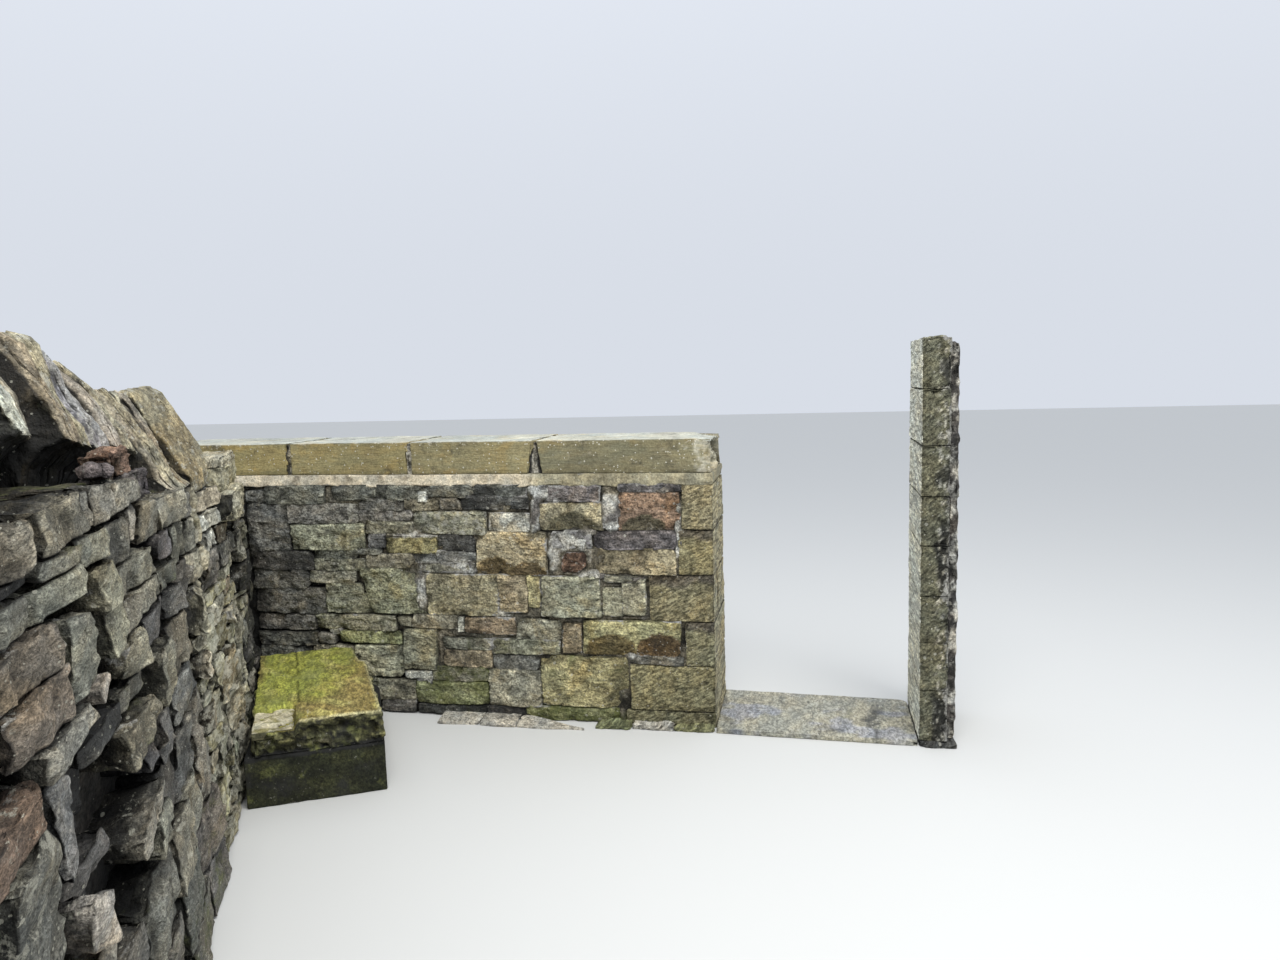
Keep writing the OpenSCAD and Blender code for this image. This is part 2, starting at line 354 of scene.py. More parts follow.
        # broken faces on the sides of the stone too, cut inwards
        on = np.concatenate([np.tile((0.0, -1.0), (nu, 1)), np.tile((1.0, 0.0), (nv - 1, 1)), np.tile((0.0, 1.0), (nu - 1, 1)),
                             np.tile((-1.0, 0.0), (nv - 2, 1))])
        on = np.tile(on, (len(depths), 1))
        dd = D[n0:]
        ar = np.where(on[:, 0] != 0, B[n0:], A[n0:]) + on[:, 0] * 3.1 + on[:, 1] * 7.7
        g = facets(dd + off[0], ar + off[1], 0.052, sd + 7, 0.36, 0.006, 64.0)
        g = side * size * smooth(dd, 0.0, 0.010) * (g + facets(dd + off[0], ar + off[1], 0.021, sd + 8, 0.30, 0.0015, 50.0) - 0.006)
        A[n0:] += on[:, 0] * g
        B[n0:] += on[:, 1] * g
        own_f[n0:] += 0.8 * (g + 0.006 * side * size)
    hollow, hcol = np.zeros(len(A)), np.zeros((len(A), 3))
    for (ba, bb, br, bd, *own) in bites:
        dd = np.hypot((A - ba), (B - bb) * 1.4) + 0.004 * f3 + 0.016 * perlin(p * (24, 24, 34), 29)
        w = np.maximum(1 - (dd / br) ** 4, 0)
        F = F - bd * w
        if own:
            k = smooth(w, 0.0, 0.22)
            hcol[k > hollow] = srgb(*own[0])
            hollow = np.maximum(hollow, k)
    Hh = Hh + F * S * size
    V = fc.world(A, B, Hh)
    n = len(A)
    tc = np.ones((n, 4))
    tc[:, :3] = pick(tone, rng, vary, pc.mute)
    tc[:, :3] = tc[:, :3] * (1 - 0.85 * hollow[:, None]) + hcol * 0.85 * hollow[:, None]
    # The second fx channel is painted shade and highlight from the relief, darker in low spots and lighter on high
    # ones; the last darkens the stone's sides deep in the joint, as painted shade.
    cavity_shade = np.clip(0.60 + (F + own_f - F0) / 0.024, 0, 1)
    edge = np.clip(E / 0.016, 0, 1)
    fx = np.stack([edge, cavity_shade, np.full(n, rng.uniform()), np.clip(-E / 0.06, 0, 1)], 1)
    mask = np.stack([np.full(n, moss), np.full(n, soot), np.full(n, lichen), np.full(n, smear)], 1)
    pc._store(V, tc, mask, fx, np.concatenate(quads), [last[::-1]], fc.flip)


def box_stone(pc, dims, place, h=(0.012, 0.03, 0.012), r=0.005, tone="o", amps=None, rough=1.0, layer=0.3, warp=None,
              wander=0.003, side_tone=None, top_tone=None, moss=0.0, soot=0.0, lichen=0.3, smear=0.0, pick_marks=0.0,
              bites=(), chip=0.6, paint=None, rock=0.6, pitch=0.0):
    """A closed block. dims is (x, y, z); place(x, y, z) gives world points. amps scales the relief on the faces
    -x, +x, -y, +y, -z, +z."""
    rng = pc.rng
    L = np.array(dims, float)
    r = min(r, L.min() * 0.3)
    ax = [axis_coords(L[i], h[i], r) for i in range(3)]
    nx, ny, nz = (len(a) for a in ax)
    I, J, K = np.meshgrid(np.arange(nx), np.arange(ny), np.arange(nz), indexing="ij")
    on = (I == 0) | (I == nx - 1) | (J == 0) | (J == ny - 1) | (K == 0) | (K == nz - 1)
    ids = np.full(on.shape, -1, np.int64)
    ids[on] = np.arange(on.sum())
    p = np.stack([ax[0][I[on]], ax[1][J[on]], ax[2][K[on]]], 1)

    def f(sl, flip):
        q = np.stack([sl[:-1, :-1], sl[1:, :-1], sl[1:, 1:], sl[:-1, 1:]], -1).reshape(-1, 4)
        return q[:, ::-1] if flip else q

    quads = np.concatenate([
        f(ids[0], True), f(ids[-1], False), f(ids[:, 0], False), f(ids[:, -1], True), f(ids[:, :, 0], True),
        f(ids[:, :, -1], False)])
    q = np.clip(p, r, L - r)
    d = p - q
    ln = np.linalg.norm(d, axis=1, keepdims=True) + 1e-12
    nrm = d / ln
    dist = np.sort(np.minimum(p, L - p), axis=1)
    e = dist[:, 1]
    pos = q + nrm * r
    amps = amps or (1, 1, 1, 1, 1, 1)
    am = np.zeros(len(p))
    for i in range(3):
        am += np.where(nrm[:, i] < 0, amps[2 * i], amps[2 * i + 1]) * nrm[:, i] ** 2
    off = rng.uniform(-40, 40, 3)
    sd = int(rng.integers(1, 9000))
    s = p + off
    f1, f2, f3 = perlin(s * (7, 7, 10), 31), perlin(s * (22, 22, 28), 32), perlin(s * (46, 46, 52), 33)
    bed = beds(s[:, 2] + 0.010 * perlin(s * (9, 9, 5), 34), rng.uniform(0.014, 0.026), sd)
    fac = np.zeros(len(p))
    if rock:
        for i, (a, b) in enumerate(((1, 2), (0, 2), (0, 1))):
            on_i = nrm[:, i] ** 2 > 0.02
            if on_i.any():
                g = facets(s[on_i, a], s[on_i, b], 0.085, sd + i, 0.16, 0.0030, 48.0)
                g = g + facets(s[on_i, a], s[on_i, b], 0.034, sd + 10 + i, 0.24, 0.0010, 36.0)
                fac[on_i] += nrm[on_i, i] ** 2 * g
    F = rough * (0.0024 * f1 + 0.0012 * f2 + 0.0007 * f3 + rock * fac) + layer * 0.0024 * bed
    if pick_marks:
        g = perlin(np.stack([(s[:, 0] + s[:, 2] * 0.9) * 30, s[:, 1] * 24, (s[:, 2] - s[:, 0] * 0.9) * 75], 1), 35)
        F = F + pick_marks * 0.0026 * g
    F = F - pitch * (1 - smooth(e, 0, 0.024)) * (0.8 + 1.3 * perlin(s / 0.06, 40))
    for _ in range(int(chip * (L.sum()) / 0.07)):
        # shell-shaped chips out of the arrises
        i = rng.integers(3)
        c = np.where(rng.uniform(size=3) < 0.5, 0.0, L)
        c[i] = rng.uniform(0, L[i])
        br = min(rng.uniform(0.010, 0.030), 0.4 * np.sort(L)[1])
        d2 = np.sum((p - c) ** 2, 1) / br ** 2
        F = F - rng.uniform(0.2, 0.45) * br * np.maximum(1 - d2, 0)
    for (bx, by, bz, br, bd) in bites:
        dd = np.linalg.norm(p - np.array([bx, by, bz]), axis=1) + 0.006 * f2
        F = F - bd * np.maximum(1 - (dd / br) ** 2, 0)
    pos = pos + nrm * (F * am)[:, None]
    if wander:
        pos = pos + wander * np.stack([perlin(s / 0.3, 37), perlin(s / 0.3, 38), perlin(s / 0.3, 39)], 1)
    if warp:
        pos = warp(pos)
    V = place(pos)
    n = len(V)
    tc = np.ones((n, 4))
    tc[:, :3] = pick(tone, rng, 0.07, pc.mute)
    if side_tone:
        w = np.clip(nrm[:, 0] ** 2 * 1.3, 0, 1)[:, None]
        tc[:, :3] = tc[:, :3] * (1 - w) + pick(side_tone, rng, 0.03) * w
    if top_tone:
        w = np.clip(np.maximum(nrm[:, 2], 0) ** 2 * 1.3, 0, 1)[:, None]
        tc[:, :3] = tc[:, :3] * (1 - w) + pick(top_tone, rng, 0.03) * w
    # The second fx channel is painted shade and highlight from the relief, darker in low spots and lighter on high
    # ones.
    fx = np.stack([np.clip(e / 0.016, 0, 1), np.clip(0.55 + F * am / 0.022, 0, 1), np.full(n, rng.uniform()),
                   np.zeros(n)], 1)
    mask = np.stack([np.full(n, moss), np.full(n, soot), np.full(n, lichen), np.full(n, smear)], 1)
    if paint:
        paint(p, nrm, tc, mask, fx)
    pc._store(V, tc, mask, fx, quads, [])


def resample2(A, B, step):
    """Even points along two matching closed outlines; every corner of both is kept."""
    P, Q = [], []
    A2, B2 = np.roll(A, -1, 0), np.roll(B, -1, 0)
    for a, a2, b, b2 in zip(A, A2, B, B2):
        n = max(1, int(round(max(np.linalg.norm(a2 - a), np.linalg.norm(b2 - b)) / step)))
        t = (np.arange(n) / n)[:, None]
        P.append(a * (1 - t) + a2 * t)
        Q.append(b * (1 - t) + b2 * t)
    P, Q = np.concatenate(P), np.concatenate(Q)
    m = (P + Q) / 2
    arc = np.concatenate([[0], np.cumsum(np.linalg.norm(np.diff(m, axis=0), axis=1))])
    return P, Q, arc


def stepped(arc, seg, seed):
    """A value that stays level for a while along the outline and then jumps, as where a flake has come off."""
    x = arc / seg + seed
    i = np.floor(x)
    f = smooth(x - i, 0.80, 1.0)
    h = [(_hash(j.astype(np.int64).astype(np.uint32), np.full(len(j), 5, np.uint32), np.full(len(j), 11, np.uint32),
                int(seed * 977) & 0xFFFF) & 1023) / 1023.0 for j in (i, i + 1)]
    return h[0] * (1 - f) + h[1] * f


def plate(pc, s0, s1, A, B, bed, tone="b", r=0.004, amp=1.0, moss=0.0, lichen=0.4, soot=0.0, hs=0.012, lean=(0.0, 0.0),
          line=1.0, leaf=(0.016, 0.042), side=0.30, gain=0.72):
    """A slab on edge across the return wall between two matching closed outlines in (n, z), split into thin leaves with
    open grooves between them. lean shifts the slab along s with height and depth, so that it stands askew."""
    rng = pc.rng
    OA, OB, arc = resample2(A, B, 0.0125)
    M = len(OA)
    O = (OA + OB) / 2
    cen = O.mean(0)
    t = np.roll(O, -1, 0) - np.roll(O, 1, 0)
    nn = np.stack([t[:, 1], -t[:, 0]], 1)
    nn /= np.linalg.norm(nn, axis=1, keepdims=True) + 1e-9
    if np.mean(np.sum(nn * (O - cen), 1)) < 0:
        nn = -nn
    free = smooth(O[:, 1] - bed, 0.004, 0.03)
    T = s1 - s0
    marks, x = [0.0], 0.0
    while x < T - 1e-6:
        x += rng.uniform(*leaf)
        if x > T - leaf[0] * 0.7:
            x = T
        marks.append(x)
    rows, S_, E_, N_ = [], [], [], []

    def row(s, ins, e):
        f = np.clip(s / T, 0, 1)
        rows.append(OA * (1 - f) + OB * f - nn * np.reshape(ins, (-1, 1)))
        S_.append(np.full(M, s))
        E_.append(np.full(M, e))
        N_.append(np.stack([np.zeros(M), nn[:, 0], nn[:, 1]], 1))

    line3 = np.stack([arc * 9, arc * 0, arc * 0], 1)
    for k in range(len(marks) - 1):
        a, b = marks[k], marks[k + 1]
        seed = rng.uniform(0, 90)
        back = free * line * (rng.uniform(0, 0.005) + 0.010 * np.clip(stepped(arc, rng.uniform(0.07, 0.16), seed) - 0.45, 0, 1))
        nick = [free * 0.006 * np.clip(perlin(np.stack([arc * 34, arc * 0 + seed + j, arc * 0], 1), 47) - 0.05, 0, 1)
                for j in (0, 7)]
        first, final = k == 0, k == len(marks) - 2
        ra, rb = (r if first else 0.0016), (r if final else 0.0016)
        row(a, back + ra + nick[0] * 1.5, 0.0)
        row(a + ra * 0.4, back + ra * 0.25 + nick[0], ra * 0.4)
        m = max(1, int(round((b - a - ra - rb) / hs)))
        for s in np.linspace(a + ra, b - rb, m + 1):
            row(s, back, min(s - a, b - s))
        row(b - rb * 0.4, back + rb * 0.25 + nick[1], rb * 0.4)
        if final:
            row(b, back + rb + nick[1] * 1.5, 0.0)
        else:
            deep = free * line * 0.014 * smooth(perlin(line3 + seed, 48), -0.30, 0.20)
            row(b - 0.0004, back + 0.001 + deep, -0.004)
    K = len(rows)
    faces = []
    idx = np.arange(K * M).reshape(K, M)
    faces.append(np.stack([idx[:-1], np.roll(idx[:-1], -1, 1), np.roll(idx[1:], -1, 1), idx[1:]], -1).reshape(-1, 4))
    nxt = K * M
    ngons = []
    for end, rw, s in ((0, 0, 0.0), (1, K - 1, T)):
        last = idx[rw]
        base = rows[rw]
        mid = base.mean(0)
        for sc in (0.93, 0.80, 0.62, 0.42, 0.20):
            rows.append(mid + (base - mid) * sc)
            S_.append(np.full(M, s))
            E_.append(np.full(M, 0.02))
            N_.append(np.tile([-1.0 if end == 0 else 1.0, 0, 0], (M, 1)))
            new = nxt + np.arange(M)
            nxt += M
            a, b, c, d = last, np.roll(last, -1), np.roll(new, -1), new
            faces.append(np.stack([a, d, c, b] if end == 0 else [a, b, c, d], -1))
            last = new
        ngons.append(last if end == 1 else last[::-1])
    P = np.concatenate(rows)
    S, E, N = np.concatenate(S_), np.concatenate(E_), np.concatenate(N_)
    R = np.tile(arc, len(P) // M)
    off = rng.uniform(-40, 40, 3)
    sd = int(rng.integers(1, 9000))
    q = np.stack([S, P[:, 0], P[:, 1]], 1) + off
    f1, f3 = perlin(q * (9, 9, 9), 41), perlin(q * (46, 46, 46), 43)
    rim = 1 - np.abs(N[:, 0])
    fr = facets(q[:, 0] * 1.6, R + off[1], 0.11, sd, 0.08, 0.0015, 60.0) + facets(q[:, 0], R + off[1], 0.03, sd + 4, 0.14, 0.0006, 36.0)
    fc_ = facets(q[:, 1], q[:, 2], 0.13, sd + 2, 0.14, 0.006, 60.0) + facets(q[:, 1], q[:, 2], 0.045, sd + 3, 0.2, 0.001, 36.0)
    F = amp * (0.0008 * f1 + 0.0007 * f3 + np.where(rim > 0.5, fr, fc_))
    F = F * smooth(P[:, 1] - bed, 0.0, 0.02)
    S = S + N[:, 0] * F + 0.0015 * perlin(q / 0.12, 46)
    P = P + N[:, 1:] * F[:, None]
    # the raised lower end is broken off unevenly
    i1 = int(np.argmax(O[:, 0] - 0.35 * np.abs(O[:, 1] - (bed + 0.10))))
    tip = np.exp(-np.sum((P - O[i1]) ** 2, 1) / 0.045 ** 2) * (O[i1, 1] > bed + 0.03)
    P[:, 1] += tip * (0.010 * perlin(np.stack([(S + s0) * 32, S * 0, S * 0], 1), 49) + 0.008 * perlin(np.stack([(S + s0) * 11, S * 0, S * 0], 1), 50))
    S = S + lean[0] * (P[:, 1] - bed) + lean[1] * (P[:, 0] + 0.28)
    V = CORNER + (s0 + S)[:, None] * SD + P[:, :1] * ND + P[:, 1:] * UP
    n = len(V)
    tc = np.ones((n, 4))
    tc[:, :3] = pick(tone, rng, 0.06, pc.mute)
    # The flat sides of the leaves are darker, partly dark stain and partly painted shade; the undersides get painted
    # shade, and the rims are a little lighter as a painted highlight.
    flat = np.clip(np.abs(N[:, 0]), 0, 1)
    under = smooth(-np.tile(nn[:, 1], len(P) // M), 0.2, 0.7) * (1 - flat)
    tc[:, :3] *= gain * (1 - (1 - side) * np.maximum(flat, under))[:, None] * (1.08 - 0.08 * flat)[:, None]
    # painted shadow: the hollow under the raised end is darkened nearly to black, on the rim below the raised end and
    # on the flat sides under it
    undercut_shadow = np.zeros(M)
    if O[i1, 1] > bed + 0.03 and O[i1, 0] - O[0, 0] > 0.05:
        undercut_shadow = 1 - smooth(np.arange(M) / i1, 0.86, 1.0)
        undercut_shadow *= np.arange(M) < i1
    undercut_shadow = np.maximum(np.tile(undercut_shadow, len(P) // M) * (1 - flat), flat * (1 - smooth(P[:, 1] - O[i1, 1], -0.02, 0.03)) * (O[i1, 1] > bed + 0.05))
    tc[:, :3] *= (1 - 0.88 * undercut_shadow)[:, None]
    # The second fx channel is painted shade and highlight from the relief, with painted shade in the grooves between
    # the leaves; the soot channel adds painted shade on the flat sides and in the undercut.
    fx = np.stack([np.clip((E + 0.002) / 0.010, 0, 1), np.clip(0.62 + F / 0.024 - 0.5 * (E < 0), 0, 1),
                   np.full(n, rng.uniform()), np.zeros(n)], 1)
    mask = np.stack([np.full(n, moss), soot + 0.35 * flat + 0.3 * undercut_shadow, lichen * (1 - 0.6 * flat) * (1 - undercut_shadow), np.zeros(n)], 1)
    i0 = int(np.argmax(O[:, 1]))
    a, b, c = idx[K // 2, i0], idx[K // 2, (i0 + 1) % M], idx[K // 2 + 1, i0]
    flip = float(np.dot(np.cross(V[b] - V[a], V[c] - V[a]), UP)) < 0
    pc._store(V, tc, mask, fx, np.concatenate(faces), ngons, flip)


def sheet(pc, fc, a0, a1, b0, b1, step, height, tone, masks, thick=0.03, top=None):
    """A closed slab with a relief front: mortar or packing behind the stones. height(a, b) gives h."""
    na, nb = int(round((a1 - a0) / step)) + 1, int(round((b1 - b0) / step)) + 1
    A, B = np.meshgrid(np.linspace(a0, a1, na), np.linspace(b0, b1, nb))
    A, B = A.ravel(), B.ravel()
    if top is not None:
        B = b0 + (B - b0) / (b1 - b0) * (top(A) - b0)
    Hh = height(A, B)
    n0 = na * nb
    idx = np.arange(n0).reshape(nb, na)
    quads = [np.stack([idx[:-1, :-1], idx[:-1, 1:], idx[1:, 1:], idx[1:, :-1]], -1).reshape(-1, 4)]
    peri = np.concatenate([idx[0, :], idx[1:, -1], idx[-1, -2::-1], idx[-2:0:-1, 0]])
    new = n0 + np.arange(len(peri))
    A2, B2 = np.concatenate([A, A[peri]]), np.concatenate([B, B[peri]])
    H2 = np.concatenate([Hh, np.full(len(peri), Hh.min() - thick)])
    quads.append(np.stack([peri, new, np.roll(new, -1), np.roll(peri, -1)], -1))
    V = fc.world(A2, B2, H2)
    tc, mask = tone(A2, B2, H2), masks(A2, B2, H2)
    n = len(V)
    fx = np.stack([np.ones(n), np.full(n, 0.5), np.full(n, 0.5), np.zeros(n)], 1)
    pc._store(V, tc, mask, fx, np.concatenate(quads), [new[::-1]], fc.flip)


# ---------------------------------------------------------------- course laying for sides the layout lists don't give
def lay(rng, a0, a1, b0, top, course=(0.12, 0.19), seg=(0.16, 0.42), gap=0.010, small=0.5, whole=0.28):
    """Random coursed rubble: quads between a0 and a1, from b0 up to top(a)."""
    quads = []
    ph = rng.uniform(0, 100)
    topmin = min(top(a) for a in np.linspace(a0, a1, 30))
    hs, z = [], b0
    while topmin - z > course[0] * 1.2:
        c = rng.uniform(*course)
        if topmin - (z + c) < course[0] * 0.6:
            c = topmin - z
        z += c
        hs.append(z)
    if not hs or topmin - hs[-1] > 0.03:
        hs.append(topmin)

    def line(k, a):
        if k < 0:
            return b0
        if k == len(hs) - 1:
            return top(a)
        wv = math.sin(a * 2.1 + ph + k * 1.7) * 0.010 + math.sin(a * 5.3 + ph * 2 + k) * 0.006
        return hs[k] + wv

    g = gap / 2
    for k in range(len(hs)):
        a = a0
        while a < a1 - 1e-6:
            w = rng.uniform(*seg)
            if a + w > a1 - seg[0] * 0.6:
                w = a1 - a
            c0, c1 = a, a + w
            bl, br, tr, tl = line(k - 1, c0), line(k - 1, c1), line(k, c1), line(k, c0)
            hgt = (tl + tr - bl - br) / 2
            sl = rng.uniform(-0.006, 0.006, 2)

            def add(x0, x1, f0, f1):
                def at(x, f):
                    t = (x - c0) / w
                    lo, hi = bl + (br - bl) * t, tl + (tr - tl) * t
                    return lo + (hi - lo) * f
                jx = rng.uniform(-0.006, 0.006, 2)
                quads.append([(x0 + g + jx[0] * (x0 > c0), at(x0, f0) + g), (x1 - g, at(x1, f0) + g),
                              (x1 - g, at(x1, f1) - g), (x0 + g + jx[1] * (x0 > c0), at(x0, f1) - g)])

            kind = rng.uniform()
            if hgt < 0.10 or kind < whole:
                add(c0, c1, 0, 1)
            elif kind < whole + 0.30 * (1 - small) + 0.12:
                t = rng.uniform(0.35, 0.65)
                add(c0, c1, 0, t)
                add(c0, c1, t, 1)
            elif kind < 0.70:
                t, m = rng.uniform(0.4, 0.62), c0 + w * rng.uniform(0.35, 0.65)
                if rng.uniform() < 0.5:
                    add(c0, c1, 0, t)
                    add(c0, m, t, 1)
                    add(m, c1, t, 1)
                else:
                    add(c0, m, 0, t)
                    add(m, c1, 0, t)
                    add(c0, c1, t, 1)
            elif kind < 0.88:
                t, u = rng.uniform(0.28, 0.4), rng.uniform(0.6, 0.75)
                m = c0 + w * rng.uniform(0.3, 0.7)
                add(c0, c1, 0, t)
                add(c0, m, t, u)
                add(m, c1, t, u)
                add(c0, c1, u, 1)
            else:
                m = c0 + w * rng.uniform(0.35, 0.65)
                t = rng.uniform(0.4, 0.6)
                add(c0, m, 0, 1)
                add(m, c1, 0, t)
                add(m, c1, t, 1)
            a = c1
    return quads


# ---------------------------------------------------------------- materials
def _set(nt, sock, val):
    if isinstance(val, bpy.types.NodeSocket):
        nt.links.new(val, sock)
    elif isinstance(val, (tuple, list)) and len(val) == 3 and sock.type == "RGBA":
        sock.default_value = (*val, 1)
    else:
        sock.default_value = val


def mix(nt, fac, a, b, mode="MIX"):
    m = nt.nodes.new("ShaderNodeMix")
    m.data_type, m.blend_type, m.clamp_factor = "RGBA", mode, True
    _set(nt, m.inputs[0], fac)
    _set(nt, m.inputs[6], a)
    _set(nt, m.inputs[7], b)
    return m.outputs[2]


def noise(nt, vec, scale, detail=4.0, rough=0.55, dist=0.0):
    n = nt.nodes.new("ShaderNodeTexNoise")
    _set(nt, n.inputs["Vector"], vec)
    n.inputs["Scale"].default_value = scale
    n.inputs["Detail"].default_value = detail
    n.inputs["Roughness"].default_value = rough
    n.inputs["Distortion"].default_value = dist
    return n.outputs["Fac"]


def ramp(nt, x, a, b, lo=0.0, hi=1.0):
    m = nt.nodes.new("ShaderNodeMapRange")
    m.interpolation_type = "SMOOTHSTEP"
    _set(nt, m.inputs["Value"], x)
    m.inputs["From Min"].default_value = a
    m.inputs["From Max"].default_value = b
    m.inputs["To Min"].default_value = lo
    m.inputs["To Max"].default_value = hi
    return m.outputs["Result"]


def math_(nt, op, a, b=0.0):
    m = nt.nodes.new("ShaderNodeMath")
    m.operation = op
    _set(nt, m.inputs[0], a)
    _set(nt, m.inputs[1], b)
    return m.outputs[0]


def ridges(nt, vec, scale, detail=4.0, rough=0.6):
    n = nt.nodes.new("ShaderNodeTexNoise")
    n.noise_type = "RIDGED_MULTIFRACTAL"
    _set(nt, n.inputs["Vector"], vec)
    n.inputs["Scale"].default_value = scale
    n.inputs["Detail"].default_value = detail
    n.inputs["Roughness"].default_value = rough
    return n.outputs["Fac"]


def mapped(nt, vec, turn, scale):
    """Coordinates turned into a local direction and stretched: larger scale, finer pattern."""
    mp = nt.nodes.new("ShaderNodeMapping")
    mp.vector_type = "TEXTURE"
    nt.links.new(vec, mp.inputs["Vector"])
    mp.inputs["Rotation"].default_value = turn
    mp.inputs["Scale"].default_value = tuple(1 / s for s in scale)
    return mp.outputs[0]


def bump_on(nt, height, distance, strength=1.0, normal=None):
    b = nt.nodes.new("ShaderNodeBump")
    b.inputs["Strength"].default_value = strength
    b.inputs["Distance"].default_value = distance
    nt.links.new(height, b.inputs["Height"])
    if normal:
        nt.links.new(normal, b.inputs["Normal"])
    return b.outputs[0]


def times(nt, *xs):
    out = xs[0]
    for x in xs[1:]:
        out = math_(nt, "MULTIPLY", out, x)
    return out


def masonry(name, grain=1.0, bump=1.0, rough=0.88, moss_a=(0.055, 0.066, 0.022), moss_b=(0.14, 0.15, 0.045),
            lichen_col=(0.42, 0.41, 0.35), soot_and_shade_col=(0.022, 0.022, 0.021), smear_col=(0.40, 0.39, 0.35), spec=0.25,
            specks=0.6, stretch=(1, 1, 1), turn=(0, 0, 0), tool=None, contrast=1.0, crack=0.0, arris_shade=1.0, rim=0.0, wide=False, pits=None, stain=0.0, fine=1.0,
            ledge=None, zoom=1.0, gain=1.0, clean=0.0, strokes=0.0, dots=1.0, lump=1.0, crust=0.0, dust=0.0,
            hollow=1.0):
    mat = bpy.data.materials.new(name)
    mat.use_nodes = True
    nt = mat.node_tree
    nt.nodes.clear()
    out = nt.nodes.new("ShaderNodeOutputMaterial")
    bs = nt.nodes.new("ShaderNodeBsdfPrincipled")
    nt.links.new(bs.outputs[0], out.inputs[0])
    tc = nt.nodes.new("ShaderNodeTexCoord")
    vec = tc.outputs["Object"]
    svec = mapped(nt, vec, turn, stretch)
    if wide:
        vec = svec
    at = {}
    for key in ("tone", "mask", "fx"):
        a = nt.nodes.new("ShaderNodeAttribute")
        a.attribute_name = key
        at[key] = a
    sep = nt.nodes.new("ShaderNodeSeparateColor")
    nt.links.new(at["mask"].outputs["Color"], sep.inputs[0])
    moss, soot, lich = sep.outputs[0], sep.outputs[1], sep.outputs[2]
    smear = at["mask"].outputs["Alpha"]
    sfx = nt.nodes.new("ShaderNodeSeparateColor")
    nt.links.new(at["fx"].outputs["Color"], sfx.inputs[0])
    edge, cavity_shade, rnd = sfx.outputs[0], sfx.outputs[1], sfx.outputs[2]
    n_big = noise(nt, vec, 3.2, 2.0, 0.5)
    n_mid = noise(nt, svec, 17.0, 5.0, 0.70)
    n_fine = noise(nt, svec, 52.0 * zoom, 4.0, 0.70)
    n_gr = noise(nt, vec, 115.0 * zoom, 2.0, 0.65)
    n_pit = noise(nt, svec, 78.0 * zoom, 3.0, 0.55)
    n_pat = noise(nt, svec, 8.5, 7.0, 0.70, 0.3)
    col = at["tone"].outputs["Color"]
    warm = mix(nt, 1.0, col, (1.06, 1.01, 0.92), "MULTIPLY")
    cool = mix(nt, 1.0, col, (0.94, 0.97, 0.99), "MULTIPLY")
    col = mix(nt, ramp(nt, n_pat, 0.36, 0.64), cool, warm)
    k = contrast
    # Mottle and grain; the dark spots of the pit noise are painted shade, and the cavity channel paints shade in low
    # spots and a highlight on high ones, scaled by hollow.
    val = times(nt, ramp(nt, n_mid, 0.32, 0.68, 1 - 0.24 * k, 1 + 0.24 * k), ramp(nt, n_fine, 0.34, 0.66, 1 - 0.33 * k * fine, 1 + 0.33 * k * fine),
                ramp(nt, n_gr, 0.3, 0.7, 1 - 0.42 * grain, 1 + 0.42 * grain), ramp(nt, n_big, 0.3, 0.7, 0.90, 1.10),
                ramp(nt, n_pit, 0.30, 0.39, 1 - 0.5 * grain, 1.0), ramp(nt, cavity_shade, 0.12, 0.8, 1 - 0.54 * hollow, 1 + 0.18 * hollow))
    # Painted shade: the sides of a stone get darker deep in the joint.
    val = times(nt, val, ramp(nt, at["fx"].outputs["Alpha"], 0.12, 1.0, gain, 0.26 * gain))
    rise = None
    if ledge:
        # small ledges where flakes have come off, bumped into the normal, with a painted shadow line at the foot and a
        # painted highlight on the riser
        lx = times(nt, noise(nt, svec, ledge[0], 3.0, 0.52), ledge[1])
        part = math_(nt, "FRACT", lx)
        rise = math_(nt, "ADD", math_(nt, "FLOOR", lx), ramp(nt, part, 0.0, 0.30))
        val = times(nt, val, ramp(nt, part, 0.0, 0.10, 0.78, 1.0), ramp(nt, part, 0.25, 0.40, 1.10, 1.0))
    marks = None
    if tool:
        marks = noise(nt, mapped(nt, vec, tool[0], tool[1]), 1.0, 3.0, 0.6)
        # stripes along the tool marks, darker in the furrows and lighter on the ridges: painted shade and highlight
        # matching the tool bump
        if strokes:
            val = times(nt, val, ramp(nt, marks, 0.36, 0.64, 1 - strokes, 1 + 0.8 * strokes))
    if stain:
        # large stains, purple grey and rusty
        st = noise(nt, vec, 5.2, 6.0, 0.62, 0.5)
        col = mix(nt, times(nt, ramp(nt, st, 0.52, 0.64), stain), col, mix(nt, 1.0, col, (0.68, 0.64, 0.66), "MULTIPLY"))
        col = mix(nt, times(nt, ramp(nt, st, 0.47, 0.37), stain), col, mix(nt, 1.0, col, (1.16, 0.97, 0.70), "MULTIPLY"))
    bowl = None
    if pits:
        # the bowls left by a pick or by flakes that have come off, bumped into the normal, with painted shade in the
        # middle of each bowl and a painted highlight on its rim
        pv = nt.nodes.new("ShaderNodeTexVoronoi")
        pv.feature = "SMOOTH_F1"
        pv.inputs["Smoothness"].default_value = 0.25
        nt.links.new(mix(nt, 0.035, svec, noise(nt, svec, 30.0, 3.0, 0.6), "LINEAR_LIGHT"), pv.inputs["Vector"])
        pv.inputs["Scale"].default_value = pits[0]
        bowl = ramp(nt, pv.outputs["Distance"], 0.05, 0.62)
        val = times(nt, val, ramp(nt, pv.outputs["Distance"], 0.08, 0.5, 1 - 0.22 * pits[2], 1 + 0.12 * pits[2]))
    # Painted shade on the arris where the joint is open, hardly any where it is pointed flush.
    dark = ramp(nt, n_pat, 0.42, 0.58, 1 - 0.70 * arris_shade, 1 - 0.10 * arris_shade)
    inside = ramp(nt, edge, 0.0, 0.30)
    val = times(nt, val, math_(nt, "ADD", dark, times(nt, inside, math_(nt, "SUBTRACT", 1.0, dark))))
    if rim:
